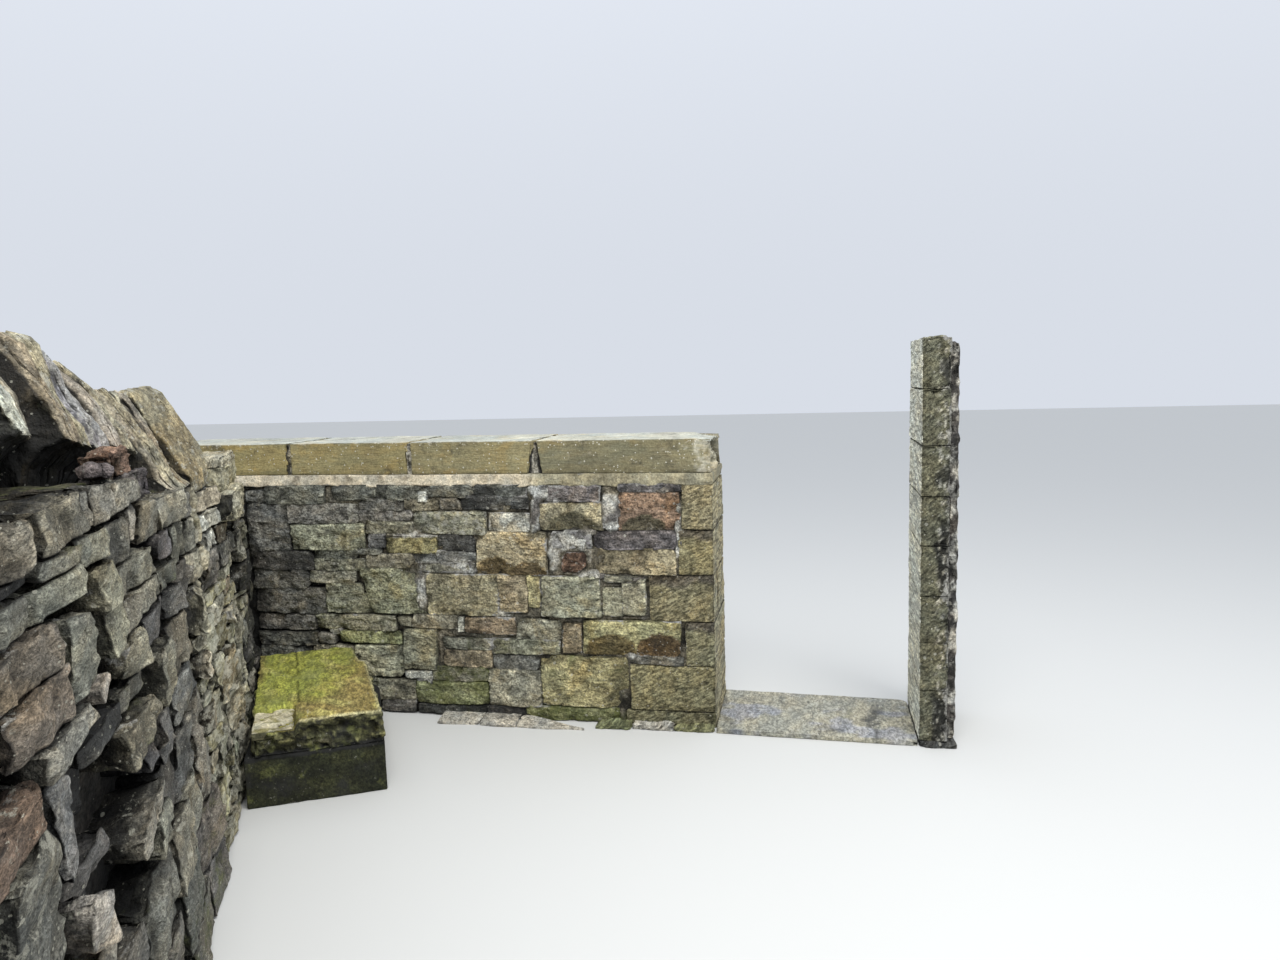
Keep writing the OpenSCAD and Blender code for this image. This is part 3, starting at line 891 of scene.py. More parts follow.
        # paler arrises: worn and lichened, and partly a painted highlight on the edges
        band = times(nt, ramp(nt, edge, 0.12, 0.32), ramp(nt, edge, 0.45, 0.95, 1.0, 0.0), ramp(nt, n_mid, 0.42, 0.58))
        val = times(nt, val, math_(nt, "ADD", 1.0, times(nt, band, rim)))
    cracks = None
    if crack:
        vo = nt.nodes.new("ShaderNodeTexVoronoi")
        vo.feature = "DISTANCE_TO_EDGE"
        wob = mix(nt, 0.10, svec, noise(nt, svec, 12.0, 4.0, 0.6), "LINEAR_LIGHT")
        nt.links.new(wob, vo.inputs["Vector"])
        vo.inputs["Scale"].default_value = 8.0
        line = ramp(nt, vo.outputs["Distance"], 0.004, 0.030, 1.0, 0.0)
        cracks = times(nt, line, ramp(nt, n_big, 0.42, 0.56), crack)
        val = times(nt, val, math_(nt, "SUBTRACT", 1.0, times(nt, cracks, 0.75)))
    comb = nt.nodes.new("ShaderNodeCombineColor")
    for i in range(3):
        nt.links.new(val, comb.inputs[i])
    col = mix(nt, 1.0, col, comb.outputs[0], "MULTIPLY")
    # Pale mortar smears.
    sm = math_(nt, "ADD", n_pat, times(nt, smear, 0.34))
    sm = math_(nt, "SUBTRACT", sm, times(nt, edge, 0.12))
    col = mix(nt, ramp(nt, sm, 0.58, 0.66), col, mix(nt, ramp(nt, n_fine, 0.35, 0.65), tuple(c * 0.45 for c in smear_col),
                                                     smear_col))
    # Soot and dark algae, and painted shade that the pieces put into the same mask channel.
    so = math_(nt, "ADD", noise(nt, vec, 6.5, 6.0, 0.68, 0.4), times(nt, soot, 0.42))
    col = mix(nt, times(nt, ramp(nt, so, 0.56 + clean, 0.74 + clean), 0.80), col, soot_and_shade_col)
    # Moss.
    mo = math_(nt, "ADD", noise(nt, vec, 11.0, 6.0, 0.68), times(nt, moss, 0.50))
    mcol = mix(nt, ramp(nt, n_fine, 0.32, 0.68), moss_a, moss_b)
    col = mix(nt, times(nt, ramp(nt, mo, 0.62 + clean, 0.86 + clean), 0.80), col, mcol)
    # Crusts and small specks of lichen.
    li = math_(nt, "ADD", noise(nt, vec, 26.0, 8.0, 0.74), times(nt, lich, 0.17))
    col = mix(nt, times(nt, ramp(nt, li, 0.64 + crust, 0.72 + crust), 0.65), col, lichen_col)
    if specks:
        for size, cut in ((95.0 * dots, 0.955), (48.0 * dots, 0.975)):
            vo = nt.nodes.new("ShaderNodeTexVoronoi")
            nt.links.new(vec, vo.inputs["Vector"])
            vo.inputs["Scale"].default_value = size
            sv = nt.nodes.new("ShaderNodeSeparateColor")
            nt.links.new(vo.outputs["Color"], sv.inputs[0])
            lim = math_(nt, "ADD", 0.14, times(nt, sv.outputs[1], 0.22))
            small = math_(nt, "LESS_THAN", vo.outputs["Distance"], lim)
            some = ramp(nt, math_(nt, "ADD", sv.outputs[0], math_(nt, "ADD", times(nt, lich, 0.07), times(nt, n_pat, 0.28))),
                        cut - dust + 0.12, cut - dust + 0.14)
            col = mix(nt, times(nt, small, some, 0.8 * specks), col, tuple(c * 1.2 for c in lichen_col))
    nt.links.new(col, bs.inputs["Base Color"])
    nt.links.new(ramp(nt, n_mid, 0.3, 0.7, rough - 0.10, min(1.0, rough + 0.08)), bs.inputs["Roughness"])
    bs.inputs["Specular IOR Level"].default_value = spec
    nor = bump_on(nt, n_mid, 0.0055 * bump * lump)
    if rise:
        nor = bump_on(nt, rise, ledge[2], 1.0, nor)
    if bowl:
        nor = bump_on(nt, bowl, pits[1], 1.0, nor)
    nor = bump_on(nt, n_fine, 0.0065 * bump, 1.0, nor)
    nor = bump_on(nt, n_gr, 0.0034 * bump, 1.0, nor)
    nor = bump_on(nt, n_pit, 0.0030 * bump, 1.0, nor)
    if marks:
        nor = bump_on(nt, marks, tool[2], 1.0, nor)
    if cracks:
        nor = bump_on(nt, math_(nt, "SUBTRACT", 1.0, cracks), 0.004, 1.0, nor)
    nt.links.new(nor, bs.inputs["Normal"])
    return mat


ALONG = (0, 0, RET_A)
M_RUBBLE = masonry("rubble_gritstone", bump=1.2, stretch=(0.8, 0.8, 1.4), smear_col=(0.44, 0.43, 0.40), rim=0.50, contrast=0.68,
                   pits=(24.0, 0.0050, 0.5), stain=0.45, fine=1.7, ledge=(6.0, 11.0, 0.0055), gain=1.24, lump=0.7, crust=0.025,
                   clean=0.04)
DRY_LOOK = dict(rough=0.86, turn=ALONG, wide=True, lichen_col=(0.38, 0.37, 0.30))
M_DRY = masonry("dry_gritstone", bump=1.0, crack=0.35, rim=0.65, pits=(17.0, 0.0040, 0.5), fine=1.5, stretch=(0.42, 1.0, 0.8),
                ledge=(5.0, 11.0, 0.0050), stain=0.4, contrast=0.7, lump=0.6, gain=1.1, **DRY_LOOK)
M_NEAR = masonry("dry_gritstone_near", bump=0.9, crack=0.30, rim=0.45, pits=(30.0, 0.0030, 0.6), fine=1.7, contrast=0.52,
                 stretch=(0.60, 1.0, 1.1), stain=0.35, zoom=1.9, ledge=(4.5, 12.0, 0.0040), gain=0.83, dots=1.4, lump=0.35,
                 crust=0.04, clean=0.03, **DRY_LOOK)
M_COPING = masonry("sawn_coping", bump=0.35, grain=0.42, stretch=(0.45, 0.20, 2.4), specks=1.0, contrast=0.42,
                   tool=((0, 0, 0), (6, 6, 95), 0.0016), stain=0.45, dots=1.15, dust=0.060, crust=0.02, hollow=0.35,
                   lichen_col=(0.50, 0.48, 0.40))
M_QUOIN = masonry("picked_gritstone", bump=0.8, contrast=0.34, tool=((0, math.radians(-26), 0), (30, 28, 84), 0.0150),
                  pits=(44.0, 0.0040, 0.4), stain=0.25, fine=1.2, grain=0.8, stretch=(1.0, 0.34, 1.0), wide=True, clean=0.17,
                  strokes=0.50, lump=0.4, crust=0.045, hollow=0.5, gain=1.03)
M_PIER = masonry("picked_gritstone_dark", bump=0.9, contrast=0.36, tool=((0, math.radians(-42), 0), (28, 28, 86), 0.0150),
                 pits=(44.0, 0.0040, 0.4), stain=0.2, fine=1.4, grain=1.0, stretch=(1.0, 0.34, 1.0), wide=True, clean=0.14,
                 strokes=0.46, lump=0.4, crust=0.03, hollow=0.4, gain=1.02)
M_MORTAR = masonry("old_mortar", bump=1.5, grain=1.0, specks=0.0, contrast=1.1, arris_shade=0.4)
M_BED = masonry("bed_mortar", bump=0.9, grain=0.60, specks=0.3, contrast=0.28, arris_shade=0.4, fine=1.6, clean=0.12, crust=0.04)
M_STEP = masonry("mossy_slab", bump=0.7, grain=0.9, moss_a=(0.125, 0.14, 0.040), moss_b=(0.27, 0.28, 0.095), specks=0.12,
                 contrast=0.62, arris_shade=0.6, fine=2.0, turn=ALONG, stretch=(0.42, 1.0, 1.0), wide=True, lump=0.6)
M_COPE = masonry("split_cope", bump=0.9, grain=0.8, turn=ALONG, stretch=(0.5, 1.0, 1.0), contrast=0.65, rim=0.40, wide=True,
                 tool=(ALONG, (36, 5.5, 5.5), 0.0070), strokes=0.28, stain=0.40, fine=1.6, zoom=1.3, ledge=(5.0, 10.0, 0.0040), lump=0.6)
M_SLAB = masonry("worn_threshold", bump=0.6, rough=0.62, spec=0.4, contrast=0.6, grain=0.9, specks=0.6, fine=1.6,
                 stretch=(0.9, 0.45, 1.0), wide=True)

# ---------------------------------------------------------------- camera, light and floor
yaw, pitch, roll = (math.radians(x) for x in (10.92, 6.71, -1.58))
fwd = Vector((-math.sin(yaw) * math.cos(pitch), math.cos(yaw) * math.cos(pitch), -math.sin(pitch)))
r0 = Vector((math.cos(yaw), math.sin(yaw), 0))
u0 = r0.cross(fwd)
right = r0 * math.cos(roll) + u0 * math.sin(roll)
upv = -r0 * math.sin(roll) + u0 * math.cos(roll)
cam_data = bpy.data.cameras.new("camera")
cam_data.sensor_width = 36.0
cam_data.lens = 897.0 / 1280 * 36.0
cam_data.clip_start = 0.05
cam = bpy.data.objects.new("camera", cam_data)
cam.matrix_world = Matrix(((right.x, upv.x, -fwd.x, -0.006), (right.y, upv.y, -fwd.y, -4.1275),
                           (right.z, upv.z, -fwd.z, 1.604), (0, 0, 0, 1)))
bpy.context.scene.collection.objects.link(cam)
bpy.context.scene.camera = cam

world = bpy.data.worlds.new("studio")
bpy.context.scene.world = world
world.use_nodes = True
wn = world.node_tree
bg = wn.nodes["Background"]
wtc = wn.nodes.new("ShaderNodeTexCoord")
wsep = wn.nodes.new("ShaderNodeSeparateXYZ")
wn.links.new(wtc.outputs["Generated"], wsep.inputs[0])
wm = wn.nodes.new("ShaderNodeMapRange")
wm.interpolation_type = "SMOOTHSTEP"
wn.links.new(wsep.outputs["Z"], wm.inputs["Value"])
wm.inputs["From Min"].default_value = 0.05
wm.inputs["From Max"].default_value = 1.0
wm.inputs["To Min"].default_value = 0.80
wm.inputs["To Max"].default_value = 1.10
wn.links.new(wm.outputs[0], bg.inputs["Strength"])
bg.inputs["Color"].default_value = (0.86, 0.91, 1.0, 1)

key = bpy.data.lights.new("softbox", "AREA")
key.shape, key.size, key.size_y, key.energy = "RECTANGLE", 4.5, 3.5, 330
key.color = (1.0, 0.99, 0.96)
ko = bpy.data.objects.new("softbox", key)
ko.location = (0.9, -3.2, 5.4)
ko.rotation_euler = (Vector((-0.9, -0.4, 0.6)) - ko.location).to_track_quat("-Z", "Y").to_euler()
bpy.context.scene.collection.objects.link(ko)

fm = bpy.data.materials.new("floor")
fm.use_nodes = True
fm.node_tree.nodes["Principled BSDF"].inputs["Base Color"].default_value = (0.60, 0.60, 0.58, 1)
fm.node_tree.nodes["Principled BSDF"].inputs["Roughness"].default_value = 0.95
fme = bpy.data.meshes.new("floor")
fme.from_pydata([(-30, -30, 0), (30, -30, 0), (30, 30, 0), (-30, 30, 0)], [], [(0, 1, 2, 3)])
fme.materials.append(fm)
floor = bpy.data.objects.new("floor", fme)
bpy.context.scene.collection.objects.link(floor)
floor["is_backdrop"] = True
bpy.context.scene.view_settings.view_transform = "Standard"
bpy.context.scene.view_settings.exposure = 0.0


# ---------------------------------------------------------------- front wall, yard face
def rect(x0, x1, z0, z1):
    return [(x0, z0), (x1, z0), (x1, z1), (x0, z1)]


# a0, a1, b0, b1, tone, proud in mm, extras
FRONT_STONES = [
    (-2.285, -2.19, 1.03, 1.09, "k", 0, {}), (-2.185, -1.867, 1.03, 1.112, "d", 5, {}),
    (-1.825, -1.60, 1.05, 1.115, "d", 0, {"soot": .3}), (-1.595, -1.36, 1.05, 1.115, "d", 2, {"soot": .3}),
    (-1.35, -1.115, 1.06, 1.115, "d", 0, {"soot": .3}), (-1.38, -1.345, 1.045, 1.085, "p", 4, {}),
    (-1.105, -0.86, 1.065, 1.115, "k", 0, {"soot": .4}), (-1.17, -0.84, 1.005, 1.06, "k", -4, {"layer": 1.4, "soot": .4}),
    (-0.79, -0.51, 1.045, 1.112, "v", -1, {"smear": .35, "soot": .25}), (-0.42, -0.147, 1.087, 1.113, "v", -1, {"smear": .35, "soot": .2}),
    (-2.285, -2.065, 0.80, 1.022, "d", 2, {"lichen": .6, "soot": .28}),
    (-2.06, -1.705, 0.938, 1.028, "d", 3, {"lichen": .9, "soot": .2}),
    (-2.05, -1.67, 0.81, 0.928, "g", 7, {"lichen": .4}), (-1.695, -1.465, 1.0, 1.043, "d", 0, {"soot": .2}),
    (-1.455, -1.285, 0.998, 1.048, "o", 2, {}), (-1.275, -1.18, 1.003, 1.052, "d", 0, {}),
    (-1.692, -1.415, 0.95, 0.993, "d", 0, {}), (-1.66, -1.42, 0.888, 0.943, "o", 2, {"lichen": .5}),
    (-1.41, -1.06, 0.888, 0.992, "o", 5, {"lichen": 1.0}), (-1.655, -1.572, 0.818, 0.88, "u", 0, {"smear": .3}),
    (-1.56, -1.305, 0.80, 0.865, "y", 5, {}), (-1.297, -1.12, 0.808, 0.882, "k", 0, {"soot": .4}),
    (-1.045, -0.85, 0.90, 0.985, "p", 2, {"lichen": .4}),
    (-0.79, -0.505, 0.907, 1.032, "b", 5, {"bites": ((-0.64, 0.905, 0.125, 0.013, (112, 108, 88)),)}),
    (-0.42, -0.147, 0.908, 1.075, "r", 6, {"bites": ((-0.31, 0.905, 0.105, 0.013, (112, 106, 86)),)}),
    (-2.28, -1.95, 0.705, 0.79, "d", 0, {"soot": .4}), (-1.94, -1.72, 0.757, 0.808, "d", 0, {}),
    (-1.935, -1.68, 0.71, 0.755, "o", 2, {"lichen": .5}), (-1.73, -1.59, 0.787, 0.812, "d", 0, {}),
    (-1.665, -1.43, 0.728, 0.788, "o", 4, {"lichen": .4}), (-1.42, -1.12, 0.752, 0.802, "u", 0, {"smear": .3}),
    (-1.38, -1.12, 0.705, 0.745, "o", -2, {"smear": .5}),
    (-1.105, -0.77, 0.702, 0.893, "b", 7, {"bites": ((-1.02, 0.705, 0.105, 0.013, (112, 98, 70)), (-0.85, 0.70, 0.085, 0.010, (116, 100, 72)))}),
    (-0.745, -0.56, 0.828, 0.90, "u", -2, {"smear": .75}), (-0.55, -0.165, 0.826, 0.90, "v", 4, {"smear": .12, "soot": .12}),
    (-0.695, -0.59, 0.714, 0.80, "n", 3, {"soot": .0, "layer": .2, "corner": .02}), (-0.555, -0.172, 0.708, 0.824, "w", 5, {"soot": .05}),
    (-2.275, -1.975, 0.617, 0.697, "d", 0, {"soot": .4}), (-1.965, -1.725, 0.647, 0.70, "o", 3, {}),
    (-2.27, -1.895, 0.492, 0.61, "d", 1, {"soot": .3, "lichen": .5}), (-1.885, -1.70, 0.597, 0.64, "o", 0, {}),
    (-1.885, -1.655, 0.50, 0.59, "o", 2, {"moss": .2}),
    (-1.36, -1.02, 0.503, 0.69, "b", 5, {}), (-1.01, -0.875, 0.52, 0.69, "w", 2, {"layer": 1.4}),
    (-0.865, -0.81, 0.545, 0.69, "y", 0, {}), (-0.80, -0.525, 0.505, 0.69, "g", 6, {"lichen": .4}),
    (-0.51, -0.42, 0.515, 0.64, "g", 1, {}), (-0.412, -0.31, 0.515, 0.66, "g", 2, {"lichen": .4}),
    (-0.50, -0.31, 0.668, 0.695, "o", 0, {}),
    (-2.27, -1.965, 0.41, 0.478, "d", 0, {"soot": .3}), (-1.955, -1.535, 0.418, 0.488, "o", 3, {"moss": .25}),
    (-1.525, -1.455, 0.44, 0.487, "o", 0, {}), (-1.445, -1.225, 0.432, 0.492, "o", 2, {}),
    (-1.215, -1.195, 0.42, 0.485, "p", 0, {}), (-1.185, -0.937, 0.41, 0.485, "w", 3, {"smear": .3}),
    (-0.928, -0.72, 0.392, 0.482, "o", 2, {"smear": .2}), (-0.703, -0.622, 0.332, 0.472, "w", 3, {}),
    (-0.605, -0.157, 0.332, 0.487, "y", 9, {"soot": .14, "bites": ((-0.475, 0.338, 0.128, 0.013, (112, 98, 66)), (-0.245, 0.345, 0.125, 0.013, (92, 70, 48)))}),
    (-2.27, -1.965, 0.332, 0.39, "d", 4, {"soot": .4}), (-1.945, -1.855, 0.34, 0.39, "d", 2, {}),
    (-1.82, -1.512, 0.352, 0.408, "m", 5, {"moss": .12}), (-1.495, -1.337, 0.235, 0.42, "g", 9, {"moss": .2}),
    (-1.30, -1.06, 0.332, 0.387, "o", 2, {"moss": .3}), (-1.30, -1.06, 0.25, 0.325, "w", 1, {"soot": .4}),
    (-1.05, -0.72, 0.322, 0.385, "o", 3, {"moss": .2, "lichen": .5}), (-1.745, -1.512, 0.192, 0.335, "g", 7, {"moss": .2}),
    (-1.045, -0.828, 0.242, 0.312, "d", 1, {"lichen": .4}),
    (-0.812, -0.405, 0.078, 0.312, "y", 9, {"moss": .2, "bites": ((-0.42, 0.09, 0.11, 0.014),)}),
    (-0.398, -0.148, 0.29, 0.326, "d", 0, {}),
    (-1.495, -1.362, 0.188, 0.214, "p", 5, {}), (-1.44, -1.36, 0.163, 0.182, "d", 2, {}),
    (-1.352, -1.08, 0.178, 0.242, "o", 1, {"moss": .5}), (-1.65, -1.457, 0.07, 0.168, "o", 3, {"moss": .3}),
    (-1.63, -1.462, 0.012, 0.063, "d", 0, {"soot": .3}),
    (-1.442, -1.088, 0.062, 0.165, "m", 4, {"moss": .5}), (-1.077, -0.82, 0.062, 0.235, "o", 5, {"lichen": .4}),
    (-1.085, -0.905, 0.012, 0.055, "k", 0, {"soot": .4}), (-1.44, -1.10, 0.008, 0.053, "k", -2, {"soot": .5}),
    (-0.895, -0.457, 0.008, 0.07, "m", 3, {"moss": .6}),
    # behind the step
    (-2.26, -1.99, 0.19, 0.325, "d", 0, {}), (-1.98, -1.755, 0.19, 0.33, "o", 0, {}),
    (-2.25, -2.0, 0.01, 0.18, "d", 0, {}), (-1.99, -1.66, 0.01, 0.18, "o", 0, {}),
]
FRONT_QUADS = [
    ([(-1.637, 0.503), (-1.385, 0.505), (-1.428, 0.725), (-1.71, 0.708)], "g", 7, {"lichen": .5}),
    ([(-0.495, 0.925), (-0.435, 0.925), (-0.43, 1.03), (-0.50, 1.06)], "p", -3, {"smear": 1.0}),
]

front_l, front_r = Piece("rubble_front_left", 101), Piece("rubble_front_right", 102)
for row in [(rect(*s[:4]), *s[4:]) for s in FRONT_STONES] + FRONT_QUADS:
    quad, tone, out, ex = row
    cx = sum(p[0] for p in quad) / 4
    cz = sum(p[1] for p in quad) / 4
    left = cx < -1.22
    pc = front_l if left else front_r
    ex = dict(ex)
    ex.setdefault("moss", 0.24 if cz < 0.2 else 0.03)
    ex.setdefault("smear", 0.0 if left else 0.22 if cz > 0.35 else 0.08)
    ex.setdefault("chip", 1.6)
    ex.setdefault("soot", 0.14 if left else 0.0)
    j = pc.rng.uniform(-0.006, 0.006, (4, 2))
    if quad[1][0] - quad[0][0] < 0.05:
        j *= 0.4
    quad = [(p[0] + d[0], p[1] + d[1] * 0.8) for p, d in zip(quad, j)]
    face_stone(pc, FRONT, quad, out=out / 1000 + 0.002, tone=tone, tilt=tuple(pc.rng.normal(0, 0.026, 2)), h=0.0097,
               grow=0.0048 if left else 0.0046, r=0.0022, slope=0.20, rough=1.1, vary=0.115, **ex)
front_l.build(M_RUBBLE, replaces=("front_wall",), slot="rubble_stone")
front_r.build(M_RUBBLE, replaces=("front_wall",), slot="rubble_stone")

# Mortar between the stones: nearly flush on the upper right with pale lumps, weathered out at the lower left, where the
# deep mortar is painted near black as the shade in the joints.
LUMPS = [(-0.80, 1.09, 0.06, 0.07, 9), (-0.46, 0.98, 0.055, 0.11, 10), (-0.60, 0.895, 0.10, 0.02, 8), (-0.82, 0.97, 0.03, 0.10, 8), (-0.65, 0.86, 0.10, 0.05, 8),
         (-0.74, 0.80, 0.03, 0.10, 6), (-1.40, 0.62, 0.03, 0.12, 7), (-1.41, 0.875, 0.12, 0.018, 9),
         (-0.30, 1.08, 0.14, 0.03, 7), (-1.03, 0.51, 0.08, 0.025, 6), (-0.56, 0.70, 0.12, 0.02, 7),
         (-0.37, 0.33, 0.05, 0.035, 5), (-0.36, 0.69, 0.08, 0.015, 6), (-1.18, 0.73, 0.08, 0.05, 6),
         (-1.95, 0.93, 0.12, 0.03, 5), (-1.85, 0.40, 0.05, 0.03, 5), (-0.16, 0.86, 0.02, 0.16, 6)]


def narrow(a, b):
    """One where the joint between the stones is a narrow one, nought in the middle of a wide one."""
    d = np.full(len(a), 1.0)
    for x0, x1, z0, z1 in ([r[:4] for r in FRONT_STONES] + [(-1.67, -1.41, 0.505, 0.715), (-0.49, -0.44, 0.93, 1.03)]
                           + [(-ln, 0.0, lo, hi) for ln, lo, hi in JAMB_ENDS] + [(-2.8, 0.0, RUBBLE_H, 1.2)]):
        dx = np.maximum(np.maximum(x0 - a, a - x1), 0)
        dz = np.maximum(np.maximum(z0 - b, b - z1), 0)
        d = np.minimum(d, np.hypot(dx, dz))
    return 1 - smooth(d, 0.004, 0.013)


JAMB_ENDS = [(0.145, 0.91, 1.115), (0.165, 0.705, 0.91), (0.30, 0.49, 0.705), (0.14, 0.285, 0.49), (0.40, 0.07, 0.285),
             (0.42, 0.0, 0.07)]


def flush(a, b):
    """One where the pointing has kept, nought where it has fallen out."""
    return smooth(perlin(np.stack([a * 6.5, b * 8.5, a * 0], 1), 66), -0.22, 0.12)


def mortar_depth(a, b):
    p = np.stack([a, b, a * 0], 1)
    good = smooth(a + b * 0.9, -1.60, -0.80)
    base = -0.030 + 0.020 * good - 0.008 * narrow(a, b)
    base = base + 0.006 * good * flush(a, b)
    base = base + 0.008 * perlin(p * 16, 61) + 0.006 * perlin(p * 45, 62)
    for (x, z, rx, rz, hh) in LUMPS:
        w = 1 - smooth(np.hypot((a - x) / rx, (b - z) / rz) + 0.55 * perlin(p * 24, 63), 0.55, 1.15)
        base = base * (1 - w) + (hh / 1000 - 0.004 + 0.008 * perlin(p * 42, 64)) * w
    return base


def mortar_tone(a, b, h):
    c = np.ones((len(a), 4))
    # Painted shade in the joints: the deeper the mortar lies the darker it is, and narrow joints are darker still
    # unless pointed flush.
    w, v = smooth(h, -0.030, -0.008)[:, None], smooth(h, -0.005, 0.004)[:, None]
    mid = np.array(srgb(44, 43, 41)) * (1 - w) + np.array(srgb(116, 111, 98)) * w
    good = smooth(a + b * 0.9, -1.60, -0.80)
    mid = mid * (1 - 0.72 * narrow(a, b) * (1 - 0.9 * good * flush(a, b)))[:, None]
    dark = smooth(perlin(np.stack([a * 13, b * 15, a * 0], 1), 67), -0.04, 0.26)[:, None]
    pale = np.array(srgb(194, 193, 186)) * (1 - dark) + np.array(srgb(112, 109, 106)) * dark
    c[:, :3] = mid * (1 - v) + pale * v
    return c


def mortar_mask(a, b, h):
    z = np.zeros(len(a))
    # The soot channel rises where the mortar lies deep: painted shade.
    return np.stack([0.25 * smooth(0.35 - b, 0, 0.3), 0.35 * smooth(-0.012 - h, 0, 0.02), z + 0.1, z], 1)


mort = Piece("mortar_front", 103)
sheet(mort, FRONT, -2.33, -0.03, 0.0, RUBBLE_H, 0.0125, mortar_depth, mortar_tone, mortar_mask, 0.03)
mort.build(M_MORTAR, replaces=("front_wall",), slot="lime_mortar")

# ---------------------------------------------------------------- unseen faces of the front wall
rng = np.random.default_rng(7)
RUB_W = ["d", "o", "k", "g", "b", "w", "u", "r", "y"]
RUB_P = [0.22, 0.24, 0.08, 0.14, 0.10, 0.09, 0.05, 0.04, 0.04]


def lay_face(name, fc, quads, seed, mat, h=0.018, replaces=(), slot=None, spread=0.006, **kw):
    pc = Piece(name, seed, 0.3)
    for q in quads:
        lo_z = min(p[1] for p in q)
        face_stone(pc, fc, q, out=pc.rng.normal(0.001, spread), tone=str(pc.rng.choice(RUB_W, p=RUB_P)), h=h,
                   moss=0.3 * (lo_z < 0.15), soot=float(pc.rng.uniform(0, 0.35)), lichen=float(pc.rng.uniform(0.1, 0.6)),
                   tilt=tuple(pc.rng.normal(0, 0.022, 2)), **kw)
    return pc.build(mat, replaces=replaces, slot=slot)


def flat_top(v):
    return lambda a: v


q = []
zs = [0.0, 0.285, 0.49, 0.705, 0.91, 1.115]
back_edge = [0.41, 0.14, 0.30, 0.165, 0.145]
for k in range(5):
    q += lay(rng, back_edge[k], 2.8, zs[k] + 0.003, flat_top(zs[k + 1] - 0.001), course=(0.09, 0.12), seg=(0.14, 0.36))
lay_face("rubble_back", BACK, q, 104, M_RUBBLE, replaces=("front_wall",), slot="rubble_stone", h=0.027, grow=0.003)
q = lay(rng, 0.09, WT - 0.09, 0.003, flat_top(1.114), course=(0.10, 0.16), seg=(0.12, 0.2))
lay_face("rubble_end", LEFT_END, q, 105, M_RUBBLE, replaces=("front_wall",), slot="rubble_stone")


def back_depth(a, b):
    p = np.stack([a, b, a * 0 + 9], 1)
    return -0.014 + 0.005 * perlin(p * 14, 65)


mort = Piece("mortar_back", 106)
sheet(mort, BACK, 0.02, 2.78, 0.0, RUBBLE_H, 0.03, back_depth, mortar_tone, mortar_mask, 0.03)
sheet(mort, LEFT_END, 0.02, WT - 0.02, 0.0, RUBBLE_H, 0.03, back_depth, mortar_tone, mortar_mask, 0.03)
mort.build(M_MORTAR, replaces=("front_wall",), slot="lime_mortar")


# ---------------------------------------------------------------- dressed stones of the jamb
def placer(x0, y0, z0):
    return lambda p: p + np.array([JX + x0, FY + y0, z0])


QUOINS = [(0.145, 0.91, 1.115, (134, 126, 100)), (0.165, 0.705, 0.91, (136, 129, 99)), (0.30, 0.49, 0.705, (132, 125, 98)),
          (0.14, 0.285, 0.49, (124, 121, 97)), (0.40, 0.07, 0.285, (130, 125, 97)), (0.42, 0.0, 0.07, (112, 110, 88))]


def crack_at(z):
    return 0.165 - 0.10 * z + 0.004 * np.sin(z * 60)


def jamb_paint(i, ln, z0, tint):
    def paint(p, n, tc, mask, fx):
        z = p[:, 2] + z0
        side = np.clip(n[:, 0] ** 2 * 1.3, 0, 1)
        w = side[:, None]
        tc[:, :3] = np.array(srgb(*tint)) * (1 - w) + np.array(srgb(153, 147, 122)) * w
        mask[:, 0] = 0.06 + 0.34 * smooth(0.5 - z, 0, 0.45) * (1 - side)
        mask[:, 2] = 0.1 + 0.55 * side
        mask[:, 1] = (0.02 + 0.30 * smooth(np.abs(p[:, 2] - 0.1), 0.075, 0.105)) * (1 - side)
        if i in (1, 2, 3):
            # purple grey damp along the joint above
            wet = smooth(p[:, 2] + 0.030 * perlin(np.stack([p[:, 0] * 16, p[:, 1] * 16, p[:, 2] * 16], 1), 68), 0.150, 0.185)
            wet = (wet * (1 - side))[:, None]
            tc[:, :3] = tc[:, :3] * (1 - 0.8 * wet) + np.array(srgb(84, 78, 72)) * 0.8 * wet
        if i == 2:
            # an open crack in the reveal, a hand's width behind the yard face, painted near black as the shadow in its
            # groove
            line = np.abs(p[:, 1] - crack_at(p[:, 2]))
            half = 0.008 + 0.013 * np.sin(np.clip(p[:, 2] / 0.21, 0, 1) * math.pi)
            c = (1 - smooth(line, half, half + 0.012)) * side
            tc[:, :3] *= (1 - 0.96 * c)[:, None]
            fx[:, 1] *= 1 - c
            mask[:, 2] *= 1 - c
    return paint


for i, (ln, z0, z1, tint) in enumerate(QUOINS):
    pc = Piece("quoin_stone_%d" % (i + 1), 200 + i)
    bites = ()
    if i == 2:
        bites = tuple((ln, float(crack_at(z)), z, 0.025, 0.022) for z in np.arange(0.02, 0.205, 0.014))
    box_stone(pc, (ln - 0.006, WT, z1 - z0 - 0.006), placer(-ln + 0.006, 0, z0 + 0.003), h=(0.0092, 0.014, 0.0092),
              r=0.004, amps=(0.4, 0.55, 1.35, 1.0, 0.3, 0.3), pick_marks=1.0, layer=0.2, bites=bites, rock=0.5, pitch=0.0015,
              paint=jamb_paint(i, ln, z0, tint))
    pc.build(M_QUOIN, replaces=("quoin_%d" % (i + 1),), slot="quoin_stone")

pc = Piece("footing_strip", 210)
for x0, w, d, t, tone in ((-0.55, 0.165, 0.072, 0.018, "m"), (-0.377, 0.185, 0.060, 0.020, "p"),
                          (-0.184, 0.176, 0.062, 0.018, "m")):
    box_stone(pc, (w, d + 0.02, t), placer(x0, -d, 0.0), h=(0.010, 0.010, 0.008), r=0.004, tone=tone, rough=1.0,
              moss=0.0 if tone == "p" else 0.35, soot=0.2, wander=0.004, chip=0.9)
pc.build(M_QUOIN, replaces=("footing_stones",), slot="quoin_stone")

pc = Piece("haunching_strip", 211)


